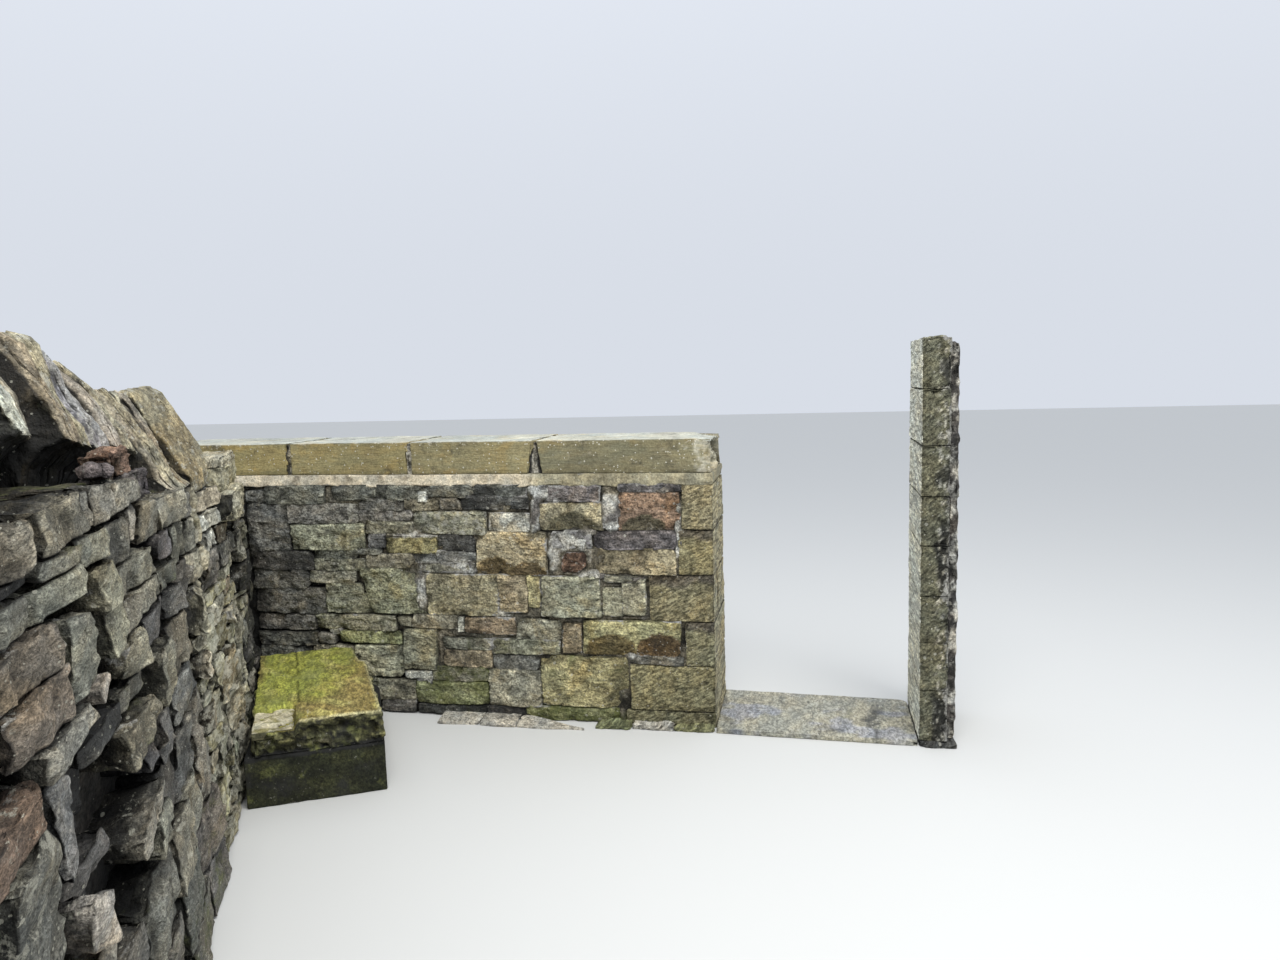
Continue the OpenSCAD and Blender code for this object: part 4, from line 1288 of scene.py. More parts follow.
def haunch(x0, ln):
    """A thin fillet of cement, as wide as a hand, that thins out to the right."""
    def warp(p):
        q = p.copy()
        x = p[:, 0] + x0
        t = np.clip(p[:, 1] / 0.100, 0, 1.2)
        back = -0.100 * (1 - smooth(x, 0.40, 0.76)) - 0.006
        front = 0.004 * np.sin(x * 11) - 0.004 * np.sin(x * 27)
        y0, y1 = -0.104 + front, np.minimum(0.015, -0.104 - back)
        q[:, 1] = y0 + (y1 - y0) * t
        rise = 0.010 + (0.016 * t + 0.004 * np.sin(t * 3.1)) * (1 - smooth(x, 0.30, 0.70))
        q[:, 2] = p[:, 2] / 0.02 * rise
        return q
    return warp


for x0, ln in ((0.0, 0.205), (0.209, 0.175), (0.388, 0.322)):
    box_stone(pc, (ln, 0.100, 0.020), placer(-1.305 + x0, 0, 0.0), h=(0.010, 0.010, 0.008), r=0.004, tone="p", rough=0.5,
              layer=0, warp=haunch(x0, ln), wander=0.0015, lichen=0.25, soot=0.05, rock=0.3,
              paint=lambda p, n, tc, mask, fx: tc.__setitem__((slice(None), slice(0, 3)), np.array(srgb(178, 174, 164))))
pc.build(M_MORTAR, replaces=("base_haunching",), slot="lime_mortar")

# ---------------------------------------------------------------- coping and its bed
pc = Piece("bed_mortar", 220)


def bed_paint(p, n, tc, mask, fx):
    x = p[:, 0] - 2.8
    w = smooth(x, -0.90, -0.76)[:, None]
    beige, olive = np.array(srgb(186, 177, 158)), np.array(srgb(146, 140, 118))
    tc[:, :3] = beige * (1 - w) + olive * w
    mask[:, 1] = 0.04 + 0.25 * w[:, 0] * smooth(0.02 - p[:, 2], 0, 0.02)
    mask[:, 2] = 0.3


def bed_warp(p):
    q = p.copy()
    t = np.clip((BED_H - p[:, 2]) / BED_H, 0, 1.2)
    s = np.stack([p[:, 0] * 7, p[:, 0] * 0, p[:, 0] * 0], 1)
    front = p[:, 1] < 0.1
    q[:, 2] = p[:, 2] + np.where(front, t * (0.012 * perlin(s, 71) + 0.007 * perlin(s * 3.1, 72)) - 0.004 * t, 0)
    q[:, 1] = p[:, 1] + np.where(front, 0.012 * (1 - t), 0)
    return q


box_stone(pc, (2.8, WT, BED_H), placer(-2.8, 0, RUBBLE_H), h=(0.0115, 0.15, 0.008), r=0.007, tone="p", rough=1.0,
          layer=0.1, amps=(1, 0.8, 1.2, 1.2, 0.1, 0.1), warp=bed_warp, wander=0.002, paint=bed_paint, rock=0.5, chip=0.4)
pc.build(M_BED, replaces=("coping_bed",), slot="lime_mortar")

# start, end at the bottom, start, end at the top (distance along the wall), tone
COPING = [(-2.80, -2.062, -2.80, -2.062, (148, 137, 97)), (-2.038, -1.442, -2.038, -1.442, (146, 136, 99)),
          (-1.418, -0.849, -1.418, -0.826, (143, 134, 101)), (-0.783, -0.004, -0.806, -0.004, (128, 123, 98))]
for i, (b0, b1, t0, t1, tint) in enumerate(COPING):
    pc = Piece("coping_block_%d" % (i + 1), 230 + i)
    W = b1 - b0

    def cwarp(p, b0=b0, b1=b1, t0=t0, t1=t1, W=W):
        t = np.clip(p[:, 2] / COP_H, -0.05, 1.05)
        u = p[:, 0] / W
        x0, x1 = b0 + (t0 - b0) * t, b1 + (t1 - b1) * t
        q = p.copy()
        q[:, 0] = x0 + (x1 - x0) * u
        return q

    def cpaint(p, n, tc, mask, fx, tint=tint, i=i):
        front, top = srgb(*tint), srgb(180, 182, 172)
        w = np.clip(np.maximum(n[:, 2], 0) ** 2 * 1.4, 0, 1)[:, None]
        band = smooth(np.abs(p[:, 2] - 0.085), 0.05, 0.08) * (1 - w[:, 0])
        end = np.clip(np.abs(n[:, 0]) ** 2 * 1.3, 0, 1)
        tc[:, :3] = (np.array(front) * (1 - w) + np.array(top) * w) * (1 - 0.22 * band * (1 - end))[:, None]
        if i == 3:
            # the broken end is pale, with darker patches painted as the shade in its holes
            s = np.stack([p[:, 0] * 0, p[:, 1] * 17, p[:, 2] * 30], 1)
            hole_shade = smooth(perlin(s, 96) + 0.5 * perlin(s * 2.2, 97), 0.0, 0.35)[:, None]
            e3 = (end * (p[:, 0] > 0.3))[:, None]
            tc[:, :3] = tc[:, :3] * (1 - e3) + (np.array(srgb(178, 172, 152)) * (1 - hole_shade) + np.array(srgb(116, 111, 93)) * hole_shade) * e3
            # pale scabs along the broken arris
            scab = smooth(perlin(np.stack([p[:, 0] * 40, p[:, 1] * 0, p[:, 2] * 40], 1), 98) + smooth(p[:, 0] - W, -0.16, 0.0), 0.55, 0.9)
            scab = (scab * (1 - w[:, 0]) * (1 - end) * 0.7)[:, None]
            tc[:, :3] = tc[:, :3] * (1 - scab) + np.array(srgb(186, 182, 166)) * scab
        mask[:, 2] = 0.20 + 0.5 * w[:, 0] + 0.4 * smooth(p[:, 2], 0.125, 0.15) * (1 - w[:, 0])
        mask[:, 0] = 0.05
        mask[:, 1] = 0.05 * (1 - w[:, 0]) + 0.08 * end

    bites = ((W, 0.0, 0.085, 0.050, 0.018), (W, 0.0, 0.03, 0.040, 0.014), (W, 0.01, COP_H, 0.060, 0.040), (W, 0.09, 0.06, 0.050, 0.020),
             (W, 0.12, COP_H, 0.070, 0.030), (W, 0.29, COP_H, 0.110, 0.040), (W, 0.44, COP_H, 0.130, 0.055),
             (W, 0.17, 0.10, 0.050, 0.018), (W, 0.24, 0.03, 0.070, 0.030), (W, 0.33, 0.06, 0.080, 0.036),
             (W, 0.43, 0.07, 0.080, 0.040), (W, 0.40, COP_H, 0.07, 0.020), (W, 0.22, COP_H, 0.04, 0.012)) if i == 3 else ()
    box_stone(pc, (W, WT - 0.015, COP_H), placer(0, 0.015, COP_Z), h=(0.013, 0.015 if i == 3 else 0.022, 0.009), r=0.005,
              amps=(0.5, 1.5, 0.22, 0.8, 0.3, 0.30), layer=0.25, warp=cwarp, wander=0.002, bites=bites, chip=0.7,
              paint=cpaint)
    pc.build(M_COPING, replaces=("coping_stone_%d" % (i + 1),), slot="coping_stone")

pc = Piece("joint_mortar", 240)
for c, wb, wt, dark in ((-2.05, 0.027, 0.027, 0.85), (-1.43, 0.027, 0.027, 0.0), (-0.816, 0.070, 0.024, 0.75)):
    def jwarp(p, c=c, wb=wb, wt=wt):
        t = np.clip(p[:, 2] / COP_H, 0, 1)
        q = p.copy()
        q[:, 0] = c + (p[:, 0] / wb - 0.5) * (wb + (wt - wb) * t)
        return q

    def jpaint(p, n, tc, mask, fx, c=c, wb=wb, dark=dark):
        u = np.abs(p[:, 0] / wb - 0.5)
        s = np.stack([p[:, 0] * 30, p[:, 1] * 30, p[:, 2] * 18], 1)
        if wb > 0.05:
            w = smooth(u + 0.10 * perlin(s, 77), 0.14, 0.30)
        else:
            w = dark * smooth(0.25 * perlin(s, 78) - (p[:, 0] / wb - 0.5), -0.15, 0.20)
        pale = np.array(srgb(184, 178, 164) if dark < 0.8 else srgb(140, 134, 118))
        tc[:, :3] = pale * (1 - w[:, None]) + np.array(srgb(52, 50, 47)) * w[:, None]
        mask[:, 1] = 0.35 * w
        mask[:, 2] = 0.2

    box_stone(pc, (wb, WT - 0.035, COP_H - 0.006), placer(0, 0.025, COP_Z), h=(0.007, 0.06, 0.008), r=0.003, rough=1.3,
              amps=(0, 0, 1.6, 1.5, 0.5, 0.5), warp=jwarp, wander=0, paint=jpaint, rock=0.8)
pc.build(M_MORTAR, replaces=("coping_pointing",), slot="lime_mortar")

# ---------------------------------------------------------------- threshold and pier
pc = Piece("threshold_stone", 250)


def tpaint(p, n, tc, mask, fx):
    s = np.stack([p[:, 0] * 4.5, p[:, 1] * 6.0, p[:, 0] * 0], 1)
    w = smooth(perlin(s, 81) + 0.5 * perlin(s * 3, 83), 0.10, 0.45)[:, None]
    tc[:, :3] = np.array(srgb(155, 153, 139)) * (1 - w) + np.array(srgb(143, 145, 150)) * w
    rim = smooth(0.05 - fx[:, 0] * 0.016, 0, 0.05)
    mask[:, 0] = 0.05
    mask[:, 1] = 0.05 + 0.10 * smooth(perlin(s * 0.8, 84), 0.1, 0.5)
    mask[:, 2] = 0.45 * (1 - w[:, 0])


def twarp(p):
    q = p.copy()
    u = np.clip(p[:, 0] / GAP, 0, 1)
    v = p[:, 1] / 0.5
    y0, y1 = -0.060 - 0.035 * u, 0.455 - 0.047 * u
    q[:, 1] = y0 + (y1 - y0) * v
    return q


box_stone(pc, (GAP - 0.004, 0.5, 0.020), placer(0.002, 0, 0.0), h=(0.017, 0.017, 0.010), r=0.004, rough=0.35, layer=0,
          amps=(1, 1, 1, 1, 0, 0.5), warp=twarp, wander=0.0, paint=tpaint)
pc.build(M_SLAB, replaces=("threshold_slab",), slot="threshold_stone")


def pier_paint(z0):
    def paint(p, n, tc, mask, fx):
        side = np.clip(np.maximum(-n[:, 0], 0) ** 2 * 1.3, 0, 1)
        w = side[:, None]
        tc[:, :3] = np.array(srgb(102, 101, 84)) * (1 - w) + np.array(srgb(214, 214, 199)) * w
        s = np.stack([p[:, 0] * 10, p[:, 1] * 10, (p[:, 2] + z0) * 4], 1)
        out = smooth(p[:, 0] + 0.03 * perlin(s, 79), 0.070, 0.105) * (1 - side)
        z = p[:, 2] + z0
        mask[:, 1] = (0.0 + 0.55 * out) * (1 - side)
        mask[:, 3] = 0.50 * out
        mask[:, 0] = 0.30 * smooth(0.45 - z, 0, 0.4) * (1 - side)
        mask[:, 2] = 0.25 + 0.6 * side
        # black damp patches and flecks of old mortar along the outer arris
        g = perlin(np.stack([p[:, 0] * 18, p[:, 1] * 18, z * 11], 1), 67)
        x0 = 0.046 + 0.014 * smooth(z, 0.24, 0.34)
        band = smooth(z, 0.60, 0.70) * (1 - smooth(z, 0.93, 1.02)) + 1 - smooth(z, 0.20, 0.27)
        band = band + 0.8 * smooth(z, 1.09, 1.13) * (1 - smooth(z, 1.18, 1.24))
        wet = (0.90 * smooth(p[:, 0] + 0.026 * g, x0, x0 + 0.018) * band * (1 - side))[:, None]
        tc[:, :3] = tc[:, :3] * (1 - wet) + np.array(srgb(34, 34, 33)) * wet
        fl = perlin(np.stack([p[:, 0] * 58, p[:, 1] * 58, z * 36], 1), 69)
        fl = (smooth(fl, 0.16, 0.32) * smooth(p[:, 0], 0.052, 0.080) * (1 - side) * 0.88)[:, None] * (1 - 0.5 * wet)
        tc[:, :3] = tc[:, :3] * (1 - fl) + np.array(srgb(186, 183, 170)) * fl
    return paint


for i in range(8):
    z0, z1 = PIER_Z[i], PIER_Z[i + 1]
    pc = Piece("pier_stone_%d" % (i + 1), 260 + i)
    box_stone(pc, (0.115, 0.457, z1 - z0 - 0.003), placer(GAP, -0.085, z0), h=(0.009, 0.014, 0.009), r=0.004,
              amps=(0.35, 0.5, 1.5, 1.0, 0.2, 0.3 if i < 7 else 1.2), pick_marks=1.1, layer=0.1, wander=0.0025, rock=0.6,
              pitch=0.002, chip=0.9, paint=pier_paint(z0))
    pc.build(M_PIER, replaces=("pier_block_%d" % (i + 1),), slot="pier_stone")
pc = Piece("pier_foot_stone", 270)
box_stone(pc, (0.15, 0.475, 0.023), placer(GAP, -0.103, 0), h=(0.012, 0.02, 0.01), r=0.005, tone="k", soot=0.5)
pc.build(M_PIER, replaces=("pier_foot",), slot="pier_stone")
pc = Piece("pier_side_mortar", 271)


def pm_warp(p):
    q = p.copy()
    s = np.stack([p[:, 2] * 5, p[:, 2] * 0, p[:, 2] * 0], 1)
    back = np.clip(1 - p[:, 1] / 0.1, 0, 1)
    q[:, 1] = p[:, 1] + back * (0.022 * perlin(s, 74) + 0.012 * perlin(s * 3, 75))
    return q


def pm_paint(p, n, tc, mask, fx):
    s = np.stack([p[:, 0] * 22, p[:, 1] * 22, p[:, 2] * 13], 1)
    w = smooth(perlin(s, 76) + 0.6 * perlin(s * 2.3, 80), -0.05, 0.30)[:, None]
    out = (smooth(n[:, 0], 0.4, 0.9) * smooth(p[:, 1], 0.03, 0.08))[:, None]
    dark = np.array(srgb(84, 80, 76)) * (1 - out) + np.array(srgb(126, 122, 112)) * out
    pale = np.array(srgb(176, 173, 164)) * (1 - out) + np.array(srgb(152, 148, 137)) * out
    tc[:, :3] = dark * (1 - w) + pale * w
    mask[:, 1] = 0.30 * (1 - w[:, 0]) * (1 - 0.8 * out[:, 0])
    mask[:, 2] = 0.4


box_stone(pc, (0.035, 0.429, 1.677), placer(GAP + 0.115, -0.057, 0.023), h=(0.010, 0.030, 0.012), r=0.006, rough=1.3,
          amps=(0, 0.6, 2.0, 1, 0.3, 1.5), warp=pm_warp, paint=pm_paint)
pc.build(M_MORTAR, replaces=("pier_mortar",), slot="lime_mortar")


# ---------------------------------------------------------------- step
def at_ret(s, n, z):
    return CORNER + s[:, None] * SD + n[:, None] * ND + z[:, None] * UP


def low_place(p):
    """x is n across, from the return wall; y runs 0..1 from the back to the front."""
    u = np.clip(p[:, 0] / 0.514, -0.02, 1.02)
    v = np.clip(p[:, 1], -0.02, 1.02)
    front = 1.152 + 0.015 * u
    n_front = 0.019 + 0.514 * u
    n_back = 0.019 + 0.404 * u
    n = n_back + (n_front - n_back) * smooth(v, 0.0, 0.25)
    back = np.maximum(0.197, 0.543 * n + 0.006)
    s = back + (front - back) * v
    return at_ret(s, n, p[:, 2])


def low_paint(p, n, tc, mask, fx):
    s = np.stack([p[:, 0] * 5, p[:, 1] * 5, p[:, 2] * 16], 1)
    w = smooth(perlin(s, 85), -0.2, 0.5)[:, None]
    tc[:, :3] = np.array(srgb(39, 41, 29)) * (1 - w) + np.array(srgb(52, 54, 36)) * w
    # Painted shadow under the upper slab: the top and the upper lip of the front are darkened, and the soot channel
    # carries more of it.
    top = np.clip(np.maximum(n[:, 2], 0) ** 2 * 1.4, 0, 1)
    lip = np.maximum(smooth(p[:, 2], 0.182, 0.192), top)[:, None]
    tc[:, :3] *= 1 - 0.85 * lip
    mask[:, 0] = 0.14 * (1 - lip[:, 0])
    mask[:, 1] = 0.10 + 0.4 * lip[:, 0]
    mask[:, 2] = 0.05


pc = Piece("step_block_lower", 280)
box_stone(pc, (0.514, 1.0, 0.197), low_place, h=(0.011, 0.04, 0.010), r=0.006, rough=0.6, layer=0.35, wander=0.0,
          rock=0.5, amps=(0.3, 0.1, 0.1, 0.7, 0.2, 0.2), chip=0.4, paint=low_paint)
pc.build(M_STEP, replaces=("step_slab_lower",), slot="step_stone")


STEP_W, STEP_L = 0.48, 0.953


def right_edge(s):
    return np.where(s < 0.466, 0.416 + 0.034 * (s - 0.21) / 0.245, 0.478 + 0.052 * (s - 0.48) / 0.683)


def seam_at(s):
    """Where the upper slab has split along its length."""
    return 0.165 + 0.053 * (s - 0.2) + 0.003 * np.sin(s * 23)


def up_place(p):
    x, v = np.clip(p[:, 0] / STEP_W, -0.02, 1.02), np.clip(p[:, 1] / STEP_L, -0.02, 1.02)
    s0 = 0.195 + STEP_L * v
    left = 0.006 + (0.055 - 0.006) * v
    n = left + (right_edge(s0) - left) * x
    s = s0 + 0.015 * x * v
    s = np.maximum(s, 0.543 * n + 0.004)
    z = p[:, 2]
    top = smooth(z, 0.06, 0.10)
    ragged = 0.007 * perlin(np.stack([s * 30, n * 30, s * 0], 1), 86)
    mid = seam_at(s)
    zone = (1 - smooth(n + ragged, mid - 0.012, mid + 0.002)) * smooth(s + ragged, 0.925, 0.945) * top
    seam = (1 - smooth(np.abs(n - mid), 0.001, 0.008)) * top * (s < 0.95)
    low_side = (1 - smooth(n, mid - 0.004, mid + 0.004)) * top
    return at_ret(s, n, 0.199 + z - zone * 0.030 - seam * 0.0035 - low_side * 0.0020)


def up_paint(p, n, tc, mask, fx):
    top = np.clip(np.maximum(n[:, 2], 0) ** 2 * 1.6, 0, 1)
    x, y = p[:, 0] / STEP_W, p[:, 1] / STEP_L
    s = np.stack([x * 4, y * 5, x * 0], 1)
    nz = perlin(s, 82) + 0.5 * perlin(s * 2.7, 87)
    ochre = smooth(x * 0.62 + y * 0.62 + 0.20 * nz, 0.52, 0.90)
    ochre = np.maximum(ochre, 0.8 * smooth(0.10 - x + 0.05 * nz, 0, 0.08) * smooth(0.6 - y, 0, 0.3))[:, None]
    pale = smooth(perlin(s * 1.6, 88) + 0.3 * nz, 0.12, 0.6)[:, None] * 0.5
    green, och, straw = (np.array(srgb(*c)) for c in ((144, 147, 70), (130, 117, 72), (186, 181, 112)))
    tcol = green * (1 - ochre) + och * ochre
    tcol = tcol * (1 - pale) + straw * pale
    arris = np.clip(smooth(y, 0.972, 0.990) * smooth(x, 0.30, 0.36) + 0.7 * smooth(x, 0.975, 0.995), 0, 1)[:, None]
    tcol = tcol * (1 - arris) + np.array(srgb(186, 180, 138)) * arris
    nn = 0.006 + 0.049 * y + (0.41 + 0.06 * y) * x
    seam = (1 - smooth(np.abs(nn - seam_at(0.195 + 0.953 * y)), 0.002, 0.007))[:, None] * (y < 0.78)[:, None]
    tcol = tcol * (1 - 0.70 * seam)
    q = np.stack([x * 9, y * 9, p[:, 2] * 70], 1)
    blot = smooth(perlin(q, 89) + 0.6 * perlin(q * 2.2, 90), 0.0, 0.45)
    lump = (1 - smooth(np.hypot((x - 0.52) / 0.10, (p[:, 2] - 0.022) / 0.022) + 0.4 * perlin(q * 2, 91), 0.7, 1.1))[:, None]
    blot = blot[:, None]
    side = np.array(srgb(80, 80, 56)) * (1 - blot) + np.array(srgb(43, 42, 36)) * blot
    side = side * (1 - lump) + np.array(srgb(132, 128, 104)) * lump
    fl = perlin(np.stack([p[:, 0] * 62, p[:, 1] * 62, p[:, 2] * 70], 1), 70)
    fl = (0.55 * smooth(fl, 0.22, 0.40))[:, None]
    side = side * (1 - 0.25 * (1 - fl)) * (1 - fl) + np.array(srgb(142, 139, 96)) * fl
    # Painted shadow in the bed joint under the upper slab: the lowest two centimetres of the sides go nearly black, and
    # the soot channel carries more of it.
    side = side * (0.06 + 0.94 * smooth(p[:, 2] + 0.005 * perlin(q, 99), 0.007, 0.022))[:, None]
    w = top[:, None]
    tc[:, :3] = side * (1 - w) + tcol * w
    mask[:, 0] = 0.10 + 0.26 * top * (1 - ochre[:, 0]) * (1 - 0.8 * seam[:, 0]) + 0.10 * (1 - top)
    mask[:, 1] = (0.10 + 0.5 * (1 - smooth(p[:, 2], 0.006, 0.022))) * (1 - top)
    mask[:, 2] = 0.10


pc = Piece("step_block_upper", 281)
box_stone(pc, (STEP_W, STEP_L, 0.124), up_place, h=(0.0105, 0.0125, 0.0095), r=0.006, rough=1.1, layer=0.6, wander=0.0,
          rock=1.1, amps=(0.8, 0.8, 0.6, 2.1, 0.1, 0.28), chip=0.4, paint=up_paint)
pc.build(M_STEP, replaces=("step_slab_upper",), slot="step_stone")


def patch_place(p):
    x, v = p[:, 0] / 0.150, p[:, 1] / 0.215
    q = np.stack([p[:, 0] * 28, p[:, 1] * 28, p[:, 0] * 0], 1)
    n = 0.052 + 0.150 * x - 0.006 * (1 - v) + 0.005 * perlin(q, 92) * x
    s = 0.935 + 0.215 * v + 0.006 * perlin(q, 93) * (1 - v)
    return at_ret(s, n, 0.266 + p[:, 2])


def patch_paint(p, n, tc, mask, fx):
    q = np.stack([p[:, 0] * 22, p[:, 1] * 22, p[:, 0] * 0], 1)
    top = np.clip(np.maximum(n[:, 2], 0) ** 2 * 1.4, 0, 1)[:, None]
    w = smooth(perlin(q, 94) + 0.6 * perlin(q * 2.3, 95), -0.05, 0.4)[:, None]
    col = np.array(srgb(188, 182, 158)) * (1 - w) + np.array(srgb(132, 126, 88)) * w
    rust = (1 - smooth(np.hypot(p[:, 0] - 0.105, p[:, 1] - 0.165) / 0.012, 0.6, 1.1))[:, None]
    col = col * (1 - rust) + np.array(srgb(58, 38, 24)) * rust
    tc[:, :3] = col * top + np.array(srgb(92, 90, 70)) * (1 - top)
    mask[:, 0] = 0.14
    mask[:, 1] = 0.06
    mask[:, 2] = 0.2


pc = Piece("cement_patch", 282)
box_stone(pc, (0.150, 0.215, 0.030), patch_place, h=(0.008, 0.008, 0.008), r=0.004, rough=1.0, layer=0, wander=0, rock=0.6,
          amps=(0.6, 0.6, 0.6, 1.2, 0.1, 1.1), paint=patch_paint, bites=((0.105, 0.165, 0.030, 0.014, 0.012),))
pc.build(M_BED, replaces=("step_patch",), slot="lime_mortar")
